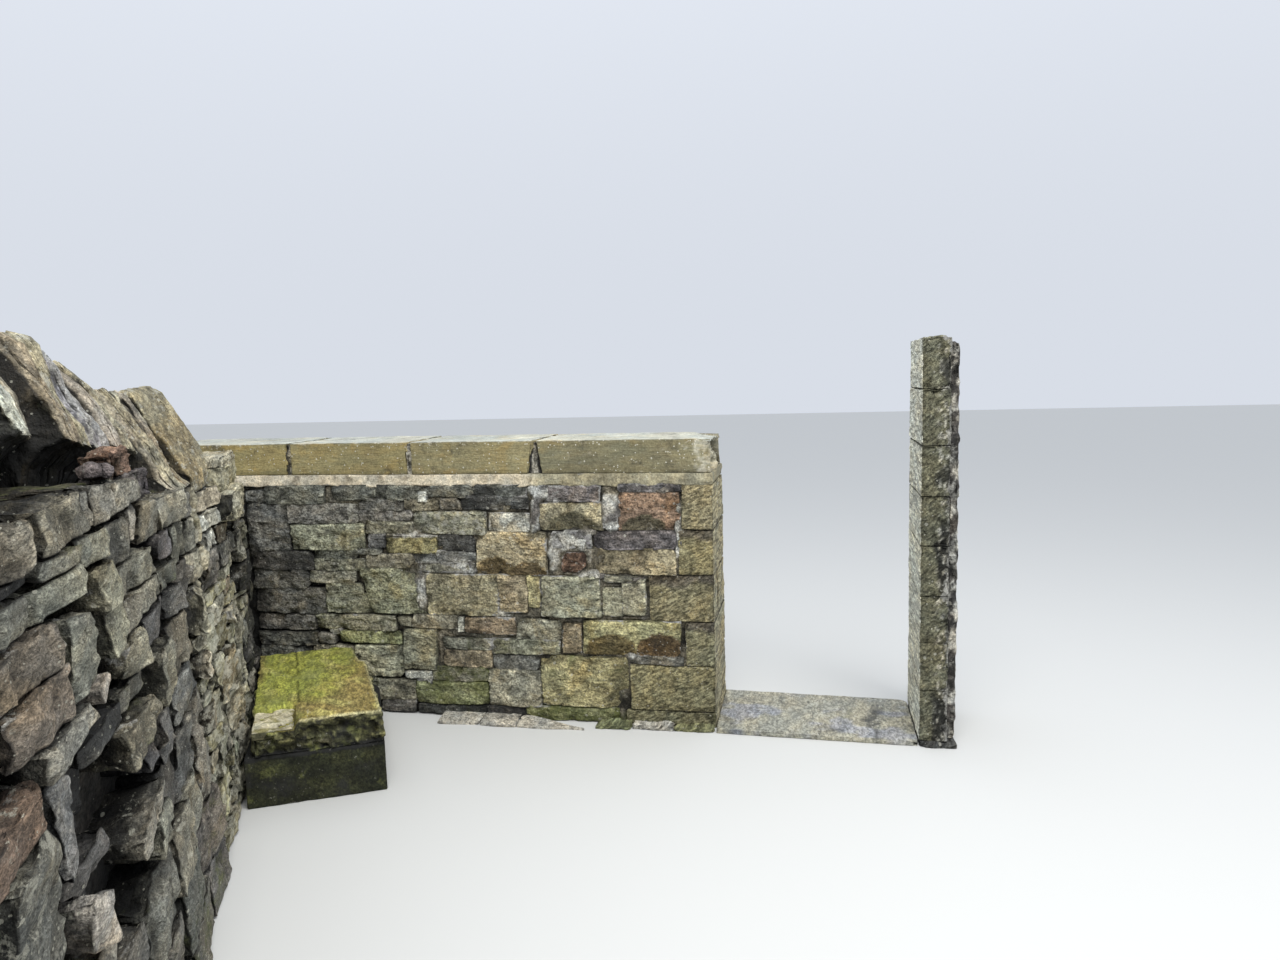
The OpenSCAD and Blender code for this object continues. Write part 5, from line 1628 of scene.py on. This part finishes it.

# ---------------------------------------------------------------- return wall
# Stones of the yard face: four corners in (s, z), tone, proud in mm, extras.
# Entries set far back (40 to 80 mm) take the near black tone and heavy soot, so the holes they sit in read dark:
# painted shade.
YARD_STONES = [
    # top course, under the cope stones
    ([(1.62, 1.205), (1.90, 1.205), (1.985, 1.296), (1.615, 1.288)], "t", 8, {"lichen": .5}),
    ([(1.885, 1.205), (2.125, 1.200), (2.085, 1.298), (1.995, 1.302)], "g", 4, {}),
    ([(2.215, 1.245), (2.295, 1.238), (2.302, 1.312), (2.146, 1.325)], "t", 6, {"lichen": .5}),
    ([(2.140, 1.332), (2.395, 1.320), (2.388, 1.390), (2.136, 1.376)], "t", 14, {"lichen": .6}),
    ([(2.402, 1.318), (2.556, 1.318), (2.548, 1.400), (2.396, 1.392)], "d", 5, {}),
    ([(2.566, 1.320), (2.605, 1.318), (2.603, 1.392), (2.560, 1.392)], "d", -5, {}),
    ([(2.612, 1.318), (2.934, 1.314), (2.938, 1.394), (2.606, 1.401)], "b", 12, {"chip": .3, "tilt": (.02, -.03)}),
    ([(2.985, 1.303), (3.114, 1.298), (3.114, 1.388), (2.974, 1.387)], "b", 10, {"chip": .6}),
    ([(3.136, 1.308), (3.228, 1.290), (3.226, 1.390), (3.142, 1.394)], "p", 4, {}),
    ([(3.246, 1.290), (3.450, 1.286), (3.450, 1.396), (3.246, 1.394)], "o", 6, {}),
    # second
    ([(2.283, 1.206), (2.486, 1.203), (2.484, 1.304), (2.312, 1.306)], "d", 2, {}),
    ([(2.494, 1.246), (2.702, 1.252), (2.716, 1.308), (2.490, 1.310)], "d", 3, {}),
    ([(2.728, 1.272), (2.946, 1.272), (2.948, 1.308), (2.722, 1.306)], "o", 10, {"moss": .3}),
    ([(2.700, 1.206), (2.996, 1.206), (2.990, 1.264), (2.684, 1.262)], "d", 6, {}),
    ([(3.004, 1.212), (3.222, 1.208), (3.224, 1.270), (3.002, 1.272)], "d", 3, {}),
    ([(2.958, 1.279), (3.232, 1.280), (3.232, 1.292), (2.958, 1.296)], "k", -6, {}),
    ([(3.236, 1.200), (3.450, 1.200), (3.450, 1.280), (3.240, 1.278)], "d", 4, {}),
    # third
    ([(2.478, 1.035), (2.642, 1.040), (2.676, 1.243), (2.484, 1.238)], "b", 24, {"chip": .5, "tilt": (.05, .03)}),
    ([(2.300, 1.122), (2.420, 1.122), (2.462, 1.196), (2.282, 1.198)], "d", 0, {}),
    ([(2.312, 1.040), (2.470, 1.044), (2.474, 1.110), (2.302, 1.112)], "d", 4, {}),
    ([(2.060, 1.122), (2.272, 1.112), (2.272, 1.192), (2.100, 1.194)], "g", 4, {"moss": .2}),
    ([(2.044, 1.052), (2.302, 1.046), (2.290, 1.104), (2.052, 1.112)], "o", 0, {"moss": .2}),
    ([(2.742, 1.050), (2.892, 1.030), (2.888, 1.196), (2.756, 1.176)], "d", 16, {"tilt": (-.06, 0)}),
    ([(1.622, 1.088), (1.800, 1.082), (1.806, 1.196), (1.622, 1.197)], "g", 4, {}),
    ([(1.818, 1.122), (1.968, 1.122), (1.985, 1.196), (1.820, 1.196)], "u", 2, {}),
    ([(1.812, 1.048), (2.030, 1.052), (2.030, 1.110), (1.812, 1.112)], "d", 6, {"moss": .2}),
    ([(1.622, 0.962), (1.782, 0.962), (1.796, 1.074), (1.622, 1.078)], "o", 0, {}),
    ([(1.792, 0.958), (1.970, 0.960), (1.968, 1.036), (1.802, 1.036)], "u", 5, {}),
    ([(2.904, 1.128), (3.220, 1.126), (3.218, 1.204), (2.938, 1.206)], "w", 14, {}),
    ([(2.902, 1.026), (3.196, 1.034), (3.208, 1.118), (2.898, 1.120)], "w", 20, {"tilt": (0, .05)}),
    ([(3.290, 1.000), (3.450, 1.000), (3.450, 1.190), (3.285, 1.192)], "k", -75, {"soot": .6, "depth": .09}),
    # fourth
    ([(2.830, 0.985), (3.102, 0.962), (3.110, 1.020), (2.846, 1.022)], "t", 26, {"lichen": .6}),
    ([(3.108, 0.925), (3.450, 0.915), (3.450, 0.982), (3.112, 0.992)], "r", 34, {"lichen": .6}),
    ([(2.684, 1.002), (2.796, 1.000), (2.822, 1.036), (2.704, 1.044)], "p", 34, {"depth": .08}),
    ([(2.302, 0.938), (2.484, 0.950), (2.498, 1.026), (2.306, 1.030)], "b", 16, {"lichen": .6}),
    ([(2.508, 0.874), (2.786, 0.868), (2.800, 0.912), (2.512, 0.916)], "k", -12, {"soot": .5}),
    ([(1.982, 0.960), (2.284, 0.956), (2.290, 1.036), (1.980, 1.042)], "d", 0, {}),
    # fifth
    ([(2.918, 0.784), (3.052, 0.772), (3.066, 0.956), (2.952, 0.936)], "u", 12, {"lichen": .5, "chip": .4}),
    ([(3.075, 0.640), (3.325, 0.605), (3.318, 0.905), (3.100, 0.915)], "d", 24, {"lichen": .9}),
    ([(3.345, 0.600), (3.450, 0.600), (3.450, 0.900), (3.335, 0.900)], "k", -60, {"soot": .6, "depth": .09}),
    ([(2.300, 0.800), (2.622, 0.786), (2.612, 0.864), (2.326, 0.866)], "w", 26, {"moss": .15, "lichen": .5}),
    ([(2.300, 0.876), (2.530, 0.884), (2.500, 0.928), (2.306, 0.926)], "o", -2, {"moss": .3}),
    ([(2.004, 0.800), (2.214, 0.786), (2.246, 0.932), (2.008, 0.926)], "b", 12, {"tilt": (.04, .02)}),
    ([(1.722, 0.800), (1.984, 0.790), (1.990, 0.940), (1.728, 0.950)], "w", 4, {}),
    ([(2.640, 0.720), (2.930, 0.716), (2.920, 0.852), (2.650, 0.856)], "k", -80, {"soot": .7, "depth": .08}),
    # sixth
    ([(2.962, 0.606), (3.062, 0.655), (3.066, 0.752), (2.968, 0.712)], "p", 44, {"lichen": .6, "depth": .12}),
    ([(3.090, 0.540), (3.450, 0.530), (3.450, 0.590), (3.094, 0.630)], "d", 14, {}),
    ([(2.300, 0.700), (2.400, 0.690), (2.398, 0.784), (2.308, 0.790)], "u", 8, {}),
    ([(2.052, 0.668), (2.288, 0.654), (2.292, 0.776), (2.060, 0.780)], "d", 4, {}),
    ([(1.706, 0.676), (2.034, 0.670), (2.032, 0.782), (1.716, 0.790)], "u", 2, {}),
    ([(2.670, 0.652), (2.945, 0.650), (2.945, 0.704), (2.680, 0.708)], "u", -24, {}),
    ([(2.306, 0.602), (2.655, 0.596), (2.660, 0.646), (2.310, 0.652)], "t", 16, {"lichen": .6}),
    ([(2.760, 0.470), (2.866, 0.480), (2.870, 0.640), (2.800, 0.640)], "k", -40, {"soot": .5}),
    # seventh
    ([(2.302, 0.482), (2.440, 0.492), (2.428, 0.592), (2.306, 0.594)], "t", 12, {"lichen": .7}),
    ([(2.104, 0.502), (2.288, 0.486), (2.294, 0.644), (2.118, 0.652)], "d", 2, {}),
    ([(1.870, 0.508), (2.092, 0.506), (2.104, 0.650), (1.878, 0.662)], "u", 0, {"soot": .5}),
    ([(2.880, 0.425), (3.095, 0.410), (3.070, 0.600), (2.886, 0.610)], "o", 16, {}),
    ([(3.106, 0.372), (3.450, 0.370), (3.450, 0.532), (3.090, 0.548)], "d", 6, {}),
    ([(1.624, 0.500), (1.860, 0.508), (1.866, 0.664), (1.622, 0.664)], "o", 0, {"lichen": .8}),
    # lower
    ([(2.080, 0.322), (2.312, 0.322), (2.300, 0.472), (2.094, 0.490)], "b", 8, {"lichen": .7}),
    ([(2.324, 0.300), (2.600, 0.300), (2.600, 0.452), (2.312, 0.470)], "o", 18, {}),
    ([(2.612, 0.270), (2.862, 0.270), (2.862, 0.444), (2.612, 0.448)], "d", 10, {}),
    ([(1.850, 0.330), (2.068, 0.326), (2.082, 0.492), (1.858, 0.494)], "o", 0, {"lichen": .7}),
    ([(1.600, 0.340), (1.838, 0.334), (1.846, 0.490), (1.606, 0.492)], "g", 2, {"lichen": .8}),
    ([(2.876, 0.220), (3.098, 0.220), (3.098, 0.398), (2.876, 0.412)], "d", 6, {}),
    ([(3.110, 0.190), (3.450, 0.190), (3.450, 0.360), (3.110, 0.362)], "o", 6, {}),
    ([(1.620, 0.170), (2.000, 0.165), (1.998, 0.320), (1.618, 0.330)], "o", 6, {"moss": .3}),
    ([(2.012, 0.160), (2.298, 0.150), (2.302, 0.312), (2.010, 0.316)], "d", 12, {"moss": .2}),
    ([(2.312, 0.140), (2.600, 0.138), (2.600, 0.288), (2.314, 0.290)], "o", 16, {"moss": .2}),
    ([(2.612, 0.130), (2.862, 0.132), (2.862, 0.258), (2.612, 0.258)], "w", 10, {}),
    ([(1.600, 0.005), (1.880, 0.005), (1.880, 0.160), (1.600, 0.160)], "d", 8, {"moss": .4}),
    ([(1.892, 0.005), (2.290, 0.005), (2.290, 0.148), (1.892, 0.152)], "o", 16, {"moss": .4}),
    ([(2.302, 0.005), (2.620, 0.005), (2.620, 0.128), (2.302, 0.130)], "d", 12, {"moss": .3}),
    ([(2.632, 0.005), (3.020, 0.005), (3.020, 0.120), (2.632, 0.120)], "o", 18, {"moss": .3}),
    ([(3.032, 0.005), (3.450, 0.005), (3.450, 0.178), (3.032, 0.180)], "d", 14, {"moss": .2}),
    ([(2.874, 0.132), (3.020, 0.132), (3.020, 0.208), (2.874, 0.210)], "o", 2, {}),
]
near, far = Piece("dry_wall_near", 301, 0.40), Piece("dry_wall_far", 302, 0.15)
for quad, tone, out, ex in YARD_STONES:
    ex = dict(ex)
    ex.setdefault("soot", float(near.rng.uniform(0, 0.2)))
    ex.setdefault("lichen", float(near.rng.uniform(0.2, 0.5)))
    ex.setdefault("layer", float(near.rng.choice([0.0, 0.2, 0.8])))
    ex.setdefault("chip", 1.0)
    ex.setdefault("depth", 0.17)
    ex.setdefault("tilt", tuple(near.rng.normal(0, 0.058, 2)))
    hgt = min(quad[2][1] - quad[1][1], quad[3][1] - quad[0][1])
    if tone == "d" and quad[0][1] > 1.0:
        tone = "o"
    j = near.rng.uniform(-0.004, 0.004, (4, 2)) * min(1, hgt / 0.08)
    quad = [(p[0] + d[0], p[1] + d[1]) for p, d in zip(quad, j)]
    face_stone(near, YARD, quad, out=out / 1000 + near.rng.normal(0.004, 0.004), tone=tone, h=0.0108,
               rings=(0.009, 0.019, 0.031, 0.045, 0.062, 0.085, 0.12), r=0.0016, corner=0.007, wob=0.40, grow=0.0005, cuts=3,
               slope=0.34, reach=0.40, ha=0.0165, side=1.0, vary=0.12,
               cells=((0.17, 0.10, 0.004), (0.06, 0.14, 0.001)), **ex)


def dry_tone(rng, s, z):
    """Paler and yellower low down in the middle; darker in the corner behind the step, where dark stones and soot paint
    the corner's shade.
    """
    if s < 0.35 and z < 0.95:
        return str(rng.choice(["k", "d", "o", "u"], p=[.35, .4, .15, .1])), 0.45, 0.15
    if z < 0.85:
        return str(rng.choice(["y", "g", "t", "b", "o", "w"], p=[.2, .22, .2, .16, .12, .1])), 0.05, 0.9
    return str(rng.choice(["t", "p", "d", "o", "w", "b"], p=[.24, .12, .24, .16, .12, .12])), 0.12, 0.6


for a0, a1, tp in ((0.03, 0.496, 1.12), (0.496, 0.905, 1.07), (0.905, 1.27, 1.235), (1.27, 1.61, 1.27)):
    for q in lay(far.rng, a0, a1, 0.004, flat_top(tp - 0.004), course=(0.09, 0.175), seg=(0.20, 0.44), gap=0.010, whole=0.55):
        lz, ls = sum(p[1] for p in q) / 4, sum(p[0] for p in q) / 4
        tone, soot, lichen = dry_tone(far.rng, ls, lz)
        face_stone(far, YARD, q, out=far.rng.normal(0.001, 0.006 if ls > 0.9 and lz > 1.0 else 0.012), tone=tone, depth=0.14, h=0.0115, r=0.0020,
                   rings=(0.010, 0.022, 0.038, 0.06), ha=0.0185, side=0.9, vary=0.13, tilt=(float(far.rng.normal(0, 0.085)), float(far.rng.normal(0, 0.05))), corner=0.009, wob=0.6, chip=1.3,
                   rough=1.2, layer=float(far.rng.uniform(0.3, 1.4)), moss=0.25 * (lz < 0.2) + 0.05, soot=soot,
                   lichen=lichen, grow=0.000, cuts=4, slope=0.34, reach=0.45, cells=((0.12, 0.14, 0.004), (0.045, 0.18, 0.001)))
near.build(M_NEAR, replaces=("return_wall",), slot="dry_stone", crisp=20)
far.build(M_DRY, replaces=("return_wall",), slot="dry_stone", crisp=22)

BEDS = [(0.905, 1.279, 1.235), (1.279, 1.592, 1.27), (1.592, 1.862, 1.29), (1.862, 2.22, 1.32), (2.22, 3.45, 1.395)]
DRY = dict(wob=0.9, corner=0.010, chip=1.0, rough=1.2, r=0.003, grow=0.003, cuts=5, slope=0.26,
           cells=((0.12, 0.14, 0.005), (0.045, 0.18, 0.001)))
q = []
q += lay(rng, -0.24, 0.496, 0.004, flat_top(1.115), course=(0.12, 0.2), seg=(0.16, 0.34), gap=0.012)
q += lay(rng, 0.496, 0.905, 0.004, flat_top(1.066), course=(0.12, 0.2), seg=(0.16, 0.34), gap=0.012)
for a0, a1, tp in BEDS:
    q += lay(rng, a0, a1, 0.004, flat_top(tp - 0.004), course=(0.12, 0.2), seg=(0.16, 0.36), gap=0.012)
lay_face("dry_wall_outer", OUTER, q, 303, M_DRY, h=0.031, spread=0.010, depth=0.13, replaces=("return_wall",),
         slot="dry_stone", **DRY)
q = lay(rng, 0.13, RET_T - 0.13, 0.004, flat_top(1.39), course=(0.10, 0.17), seg=(0.12, 0.24), gap=0.012)
lay_face("dry_wall_end", NEAR_END, q, 304, M_DRY, h=0.016, spread=0.012, depth=0.13, replaces=("return_wall",),
         slot="dry_stone", **DRY)

# The imported heart of the dry wall, well behind the faces, with a rough top under the cope stones: painted near black
# as the shade in the gaps between the face stones.
core = Piece("dry_wall_heart", 305)


def heart_place(p):
    s, t, z = p[:, 0] - 0.2, p[:, 1], p[:, 2]
    top = np.interp(s, [-0.2, 0.49, 0.50, 0.90, 0.91, 1.27, 1.29, 1.58, 1.60, 1.85, 1.87, 2.21, 2.23, 3.5],
                    [1.10, 1.10, 1.05, 1.05, 1.215, 1.215, 1.25, 1.25, 1.27, 1.27, 1.30, 1.30, 1.38, 1.38])
    n = -0.125 - t * 0.25
    return at_ret(s, n, z / 1.4 * top)


def heart_paint(p, n, tc, mask, fx):
    # Near black: painted shade in the gaps between the face stones.
    tc[:, :3] = np.array(srgb(46, 44, 41))
    top = np.clip(np.maximum(n[:, 2], 0) ** 2, 0, 1)
    tc[:, :3] += top[:, None] * np.array([0.03, 0.028, 0.015])
    mask[:, 0] = 0.35 * top
    mask[:, 1] = 0.3
    mask[:, 2] = 0.0


box_stone(core, (3.55, 1.0, 1.4), heart_place, h=(0.045, 0.15, 0.06), r=0.02, rough=2.2, rock=0, wander=0.004,
          paint=heart_paint)
core.build(M_DRY, replaces=("return_wall",), slot="dry_stone")


# ---------------------------------------------------------------- projecting corner block and the stone on it
def ret_placer(s0, n0, z0):
    """x runs along s, y runs towards the yard."""
    return lambda p: at_ret(s0 + p[:, 0], n0 + p[:, 1], z0 + p[:, 2])


def shelf(p, n, tc, mask, fx):
    # Painted shade on the near end face of the block, also put into the soot channel.
    near_face_shade = np.clip(np.maximum(n[:, 0], 0) ** 2 * 1.3, 0, 1)
    tc[:, :3] = tc[:, :3] * (1 - 0.84 * near_face_shade[:, None])
    mask[:, 1] += 0.30 * near_face_shade
    mask[:, 2] = 0.5 * (1 - near_face_shade)


# at_ret turns x, y, z into a left-handed set, so these pieces are stored flipped.
class FlipPiece(Piece):
    def _store(self, V, tone, mask, fx, quads, ngons, flip=False):
        super()._store(V, tone, mask, fx, quads, ngons, not flip)


pc = FlipPiece("corner_projection", 310)
box_stone(pc, (0.392, 0.483, 0.113), ret_placer(0.502, -0.457, 1.072), h=(0.010, 0.012, 0.008), r=0.006, tone="t",
          rough=1.3, layer=2.2, wander=0.005, chip=1.2, lichen=0.5, paint=shelf, rock=0.9,
          bites=((0.392, 0.483, 0.0, 0.06, 0.02), (0.0, 0.483, 0.0, 0.09, 0.03)))
pc.build(M_DRY, replaces=("corner_block",), slot="dry_stone")
pc = FlipPiece("corner_slabs", 311)
box_stone(pc, (0.444, 0.424, 0.040), ret_placer(0.424, -0.436, 1.283), h=(0.011, 0.013, 0.008), r=0.005, tone="t",
          rough=1.2, layer=1.0, wander=0.004, chip=1.3, lichen=0.7)
box_stone(pc, (0.425, 0.060, 0.094), ret_placer(0.440, -0.075, 1.188), h=(0.011, 0.011, 0.009), r=0.005, tone="t",
          rough=1.2, layer=0.8, wander=0.003, lichen=0.6)
box_stone(pc, (0.430, 0.230, 0.094), ret_placer(0.430, -0.434, 1.188), h=(0.014, 0.02, 0.012), r=0.005, tone="r",
          rough=1.4, layer=1.0, wander=0.004, lichen=0.4)
pc.build(M_DRY, replaces=("corner_top_stone",), slot="dry_stone")

# ---------------------------------------------------------------- cope stones on edge
# start, length, outline (n, z) at the far end, outline at the near end, and the leaves the stone has split into:
# end of the leaf as a part of the length, how far it stands back, tone, and soot with painted shade.
COPES = [
    (0.925, 0.350,
     [(-.047, 1.237), (-.046, 1.318), (-.061, 1.379), (-.113, 1.479), (-.157, 1.560), (-.178, 1.595), (-.205, 1.612),
      (-.238, 1.612), (-.285, 1.575), (-.36, 1.47), (-.425, 1.36), (-.462, 1.237)],
     [(-.047, 1.237), (-.047, 1.286), (-.083, 1.348), (-.122, 1.418), (-.165, 1.492), (-.200, 1.552), (-.222, 1.588),
      (-.250, 1.602), (-.295, 1.570), (-.37, 1.46), (-.43, 1.35), (-.462, 1.237)],
     ((0.12, .010, "s", .1), (1.0, .000, "s", .0))),
    (1.283, 0.305,
     [(-.058, 1.272), (-.080, 1.300), (-.105, 1.345), (-.140, 1.427), (-.165, 1.496), (-.211, 1.572), (-.228, 1.590),
      (-.254, 1.600), (-.290, 1.585), (-.365, 1.47), (-.43, 1.36), (-.462, 1.272)],
     [(-.045, 1.272), (-.066, 1.296), (-.088, 1.330), (-.118, 1.398), (-.150, 1.445), (-.192, 1.512), (-.228, 1.580),
      (-.250, 1.608), (-.292, 1.600), (-.37, 1.48), (-.43, 1.37), (-.462, 1.272)],
     ((0.12, .010, "t", .1), (0.25, .000, "t", .0), (0.37, .016, "w", .2), (0.47, .006, "t", .1), (0.80, .000, "b", .0),
      (1.0, .005, "b", .1))),
    (1.596, 0.262,
     [(-.250, 1.292), (-.215, 1.352), (-.172, 1.386), (-.134, 1.392), (-.164, 1.471), (-.188, 1.509), (-.239, 1.608),
      (-.282, 1.655), (-.320, 1.688), (-.355, 1.670), (-.41, 1.54), (-.45, 1.40), (-.462, 1.292)],
     [(-.255, 1.292), (-.225, 1.370), (-.180, 1.425), (-.138, 1.442), (-.155, 1.495), (-.184, 1.553), (-.222, 1.609),
      (-.262, 1.654), (-.300, 1.695), (-.345, 1.680), (-.41, 1.55), (-.45, 1.41), (-.462, 1.292)],
     ((0.30, .008, "t", .0), (0.62, .000, "b", .0), (1.0, .003, "t", .0))),
    (1.866, 0.134,
     [(-.262, 1.322), (-.235, 1.370), (-.185, 1.400), (-.142, 1.414), (-.162, 1.471), (-.190, 1.520), (-.222, 1.571),
      (-.253, 1.612), (-.264, 1.662), (-.294, 1.714), (-.335, 1.735), (-.41, 1.60), (-.45, 1.45), (-.462, 1.322)],
     [(-.270, 1.322), (-.250, 1.400), (-.205, 1.445), (-.166, 1.458), (-.182, 1.510), (-.205, 1.545), (-.233, 1.592),
      (-.245, 1.640), (-.256, 1.690), (-.285, 1.735), (-.335, 1.755), (-.41, 1.62), (-.45, 1.46), (-.462, 1.322)],
     ((0.45, .000, "q", .0), (1.0, .004, "q", .1))),
    (2.000, 0.216,
     [(-.270, 1.322), (-.250, 1.400), (-.205, 1.440), (-.163, 1.450), (-.182, 1.510), (-.203, 1.541), (-.230, 1.592),
      (-.240, 1.650), (-.252, 1.724), (-.285, 1.750), (-.335, 1.768), (-.41, 1.62), (-.45, 1.46), (-.462, 1.322)],
     [(-.275, 1.322), (-.262, 1.420), (-.215, 1.468), (-.159, 1.484), (-.180, 1.538), (-.196, 1.582), (-.214, 1.618),
      (-.250, 1.674), (-.286, 1.726), (-.305, 1.752), (-.345, 1.755), (-.41, 1.62), (-.45, 1.46), (-.462, 1.322)],
     ((0.45, .004, "b", .0), (1.0, .000, "w", .1))),
    (2.224, 0.262,
     [(-.320, 1.397), (-.300, 1.440), (-.265, 1.475), (-.232, 1.492), (-.240, 1.547), (-.263, 1.608), (-.290, 1.651),
      (-.315, 1.690), (-.345, 1.700), (-.375, 1.680), (-.42, 1.57), (-.45, 1.47), (-.462, 1.397)],
     [(-.300, 1.397), (-.265, 1.450), (-.215, 1.498), (-.174, 1.518), (-.198, 1.562), (-.213, 1.587), (-.250, 1.650),
      (-.280, 1.695), (-.315, 1.715), (-.355, 1.690), (-.42, 1.57), (-.45, 1.47), (-.462, 1.397)],
     ((0.40, .006, "t", .1), (1.0, .000, "p", .0))),
    (2.493, 0.320,
     [(-.330, 1.397), (-.305, 1.430), (-.275, 1.455), (-.250, 1.470), (-.262, 1.540), (-.275, 1.590), (-.290, 1.650),
      (-.310, 1.700), (-.335, 1.725), (-.370, 1.700), (-.42, 1.58), (-.45, 1.48), (-.462, 1.397)],
     [(-.290, 1.397), (-.260, 1.440), (-.210, 1.470), (-.172, 1.482), (-.190, 1.560), (-.205, 1.600), (-.230, 1.655),
      (-.260, 1.710), (-.295, 1.745), (-.345, 1.720), (-.42, 1.59), (-.45, 1.48), (-.462, 1.397)],
     ((0.30, .000, "t", .1), (0.48, .020, "o", .4), (1.0, .004, "t", .1))),
    (2.821, 0.330,
     [(-.270, 1.397), (-.245, 1.430), (-.195, 1.452), (-.150, 1.462), (-.166, 1.545), (-.182, 1.595), (-.205, 1.650),
      (-.235, 1.720), (-.275, 1.768), (-.330, 1.745), (-.41, 1.60), (-.45, 1.48), (-.462, 1.397)],
     [(-.260, 1.397), (-.235, 1.435), (-.180, 1.462), (-.132, 1.472), (-.150, 1.550), (-.168, 1.605), (-.192, 1.660),
      (-.225, 1.735), (-.265, 1.790), (-.325, 1.765), (-.41, 1.61), (-.45, 1.48), (-.462, 1.397)],
     ((0.42, .000, "o", .1), (1.0, .012, "t", .2))),
    (3.159, 0.285,
     [(-.265, 1.397), (-.240, 1.430), (-.190, 1.455), (-.145, 1.465), (-.160, 1.545), (-.180, 1.600), (-.205, 1.660),
      (-.240, 1.730), (-.280, 1.765), (-.335, 1.740), (-.41, 1.60), (-.45, 1.48), (-.462, 1.397)],
     [(-.255, 1.397), (-.225, 1.425), (-.170, 1.445), (-.122, 1.452), (-.142, 1.545), (-.165, 1.605), (-.195, 1.665),
      (-.235, 1.725), (-.285, 1.752), (-.340, 1.730), (-.41, 1.59), (-.45, 1.47), (-.462, 1.397)],
     ((0.50, .006, "o", .2), (1.0, .000, "t", .1))),
]
# Which cope stone each entry belongs to: the fourth is made of two slabs.
COPE_OF = (1, 2, 3, 4, 4, 5, 6, 7, 8)


def stand_back(P, ins, bed, jit, rng):
    """Move a closed outline inwards, except along the bed, and knock its corners a little."""
    t = np.roll(P, -1, 0) - np.roll(P, 1, 0)
    nn = np.stack([t[:, 1], -t[:, 0]], 1)
    nn /= np.linalg.norm(nn, axis=1, keepdims=True) + 1e-9
    if np.mean(np.sum(nn * (P - P.mean(0)), 1)) < 0:
        nn = -nn
    up = smooth(P[:, 1] - bed, 0.01, 0.08)[:, None]
    return P - nn * up * ins + rng.uniform(-jit, jit, P.shape) * up


pieces = {}
for i, (s0, ln, far_o, near_o, leaves) in enumerate(COPES):
    k = COPE_OF[i]
    if k not in pieces:
        pieces[k] = Piece("cope_slab_%d" % k, 320 + k, 0.20)
    pc = pieces[k]
    FO, NO = np.array(far_o), np.array(near_o)
    bed = FO[:, 1].min() - 0.002
    prev = 0.0
    for c, ins, tone, soot in leaves:
        thick = (c - prev) * ln
        big = thick > 0.06
        gap = 0.0012
        jit = 0.003 if i == 0 else 0.0045
        kick = pc.rng.uniform(-jit, jit, FO.shape) * smooth(FO[:, 1:] - bed, 0.01, 0.08)
        A = stand_back(FO * (1 - prev) + NO * prev + kick, ins, bed, 0.0015, pc.rng)
        B = stand_back(FO * (1 - c) + NO * c + kick, ins, bed, 0.0015, pc.rng)
        plate(pc, s0 + ln * prev + gap, s0 + ln * c - gap, A, B, bed, tone=tone, r=0.0045 if big else 0.0025,
              amp=0.8 if i == 0 else 1.0, lichen=float(pc.rng.uniform(0.3, 0.6)), moss=0.02, soot=soot,
              line=0.30 if i == 0 else 1.3 if i == 1 else 1.0, gain=0.60 if i == 0 else 0.78,
              leaf=(0.05, 0.11) if i == 0 else (0.012, 0.030) if i == 1 else (0.016, 0.045),
              lean=(float(pc.rng.uniform(-0.02, 0.02)), float(pc.rng.uniform(-0.03, 0.03))))
        prev = c
for k, pc in pieces.items():
    pc.build(M_COPE, replaces=("cope_stone_%d" % k,), slot="cope_stone", crisp=24)

# Small packing stones wedged under the raised ends of the cope stones.
pc = FlipPiece("packing_rubble", 340)
for s0, n0, z0, ds, dn, dz, tone in (
        (1.987, -0.158, 1.321, 0.110, 0.104, 0.066, "v"), (2.100, -0.156, 1.321, 0.108, 0.100, 0.064, "v"),
        (2.103, -0.148, 1.389, 0.050, 0.074, 0.048, "r"), (2.156, -0.146, 1.389, 0.052, 0.074, 0.050, "n"),
        (2.225, -0.117, 1.396, 0.050, 0.046, 0.046, "n"), (2.281, -0.115, 1.396, 0.040, 0.042, 0.036, "v"),
        (1.612, -0.188, 1.291, 0.100, 0.066, 0.058, "v"), (1.716, -0.186, 1.291, 0.072, 0.064, 0.066, "v")):
    box_stone(pc, (ds, dn, dz), ret_placer(s0, n0, z0), h=(0.009, 0.010, 0.009), r=0.003, tone=tone, rough=1.2,
              layer=0.8, wander=0.004, chip=1.6, rock=1.6, lichen=0.5, pitch=0.002)
pc.build(M_NEAR, replaces=("packing_stones",), slot="dry_stone", crisp=24)

print("total triangles", sum(TRIS.values()), "largest", max(TRIS.values()))
_lo, _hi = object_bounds()
print("cad box", cad_box, "visual box", [list(_lo), list(_hi)])
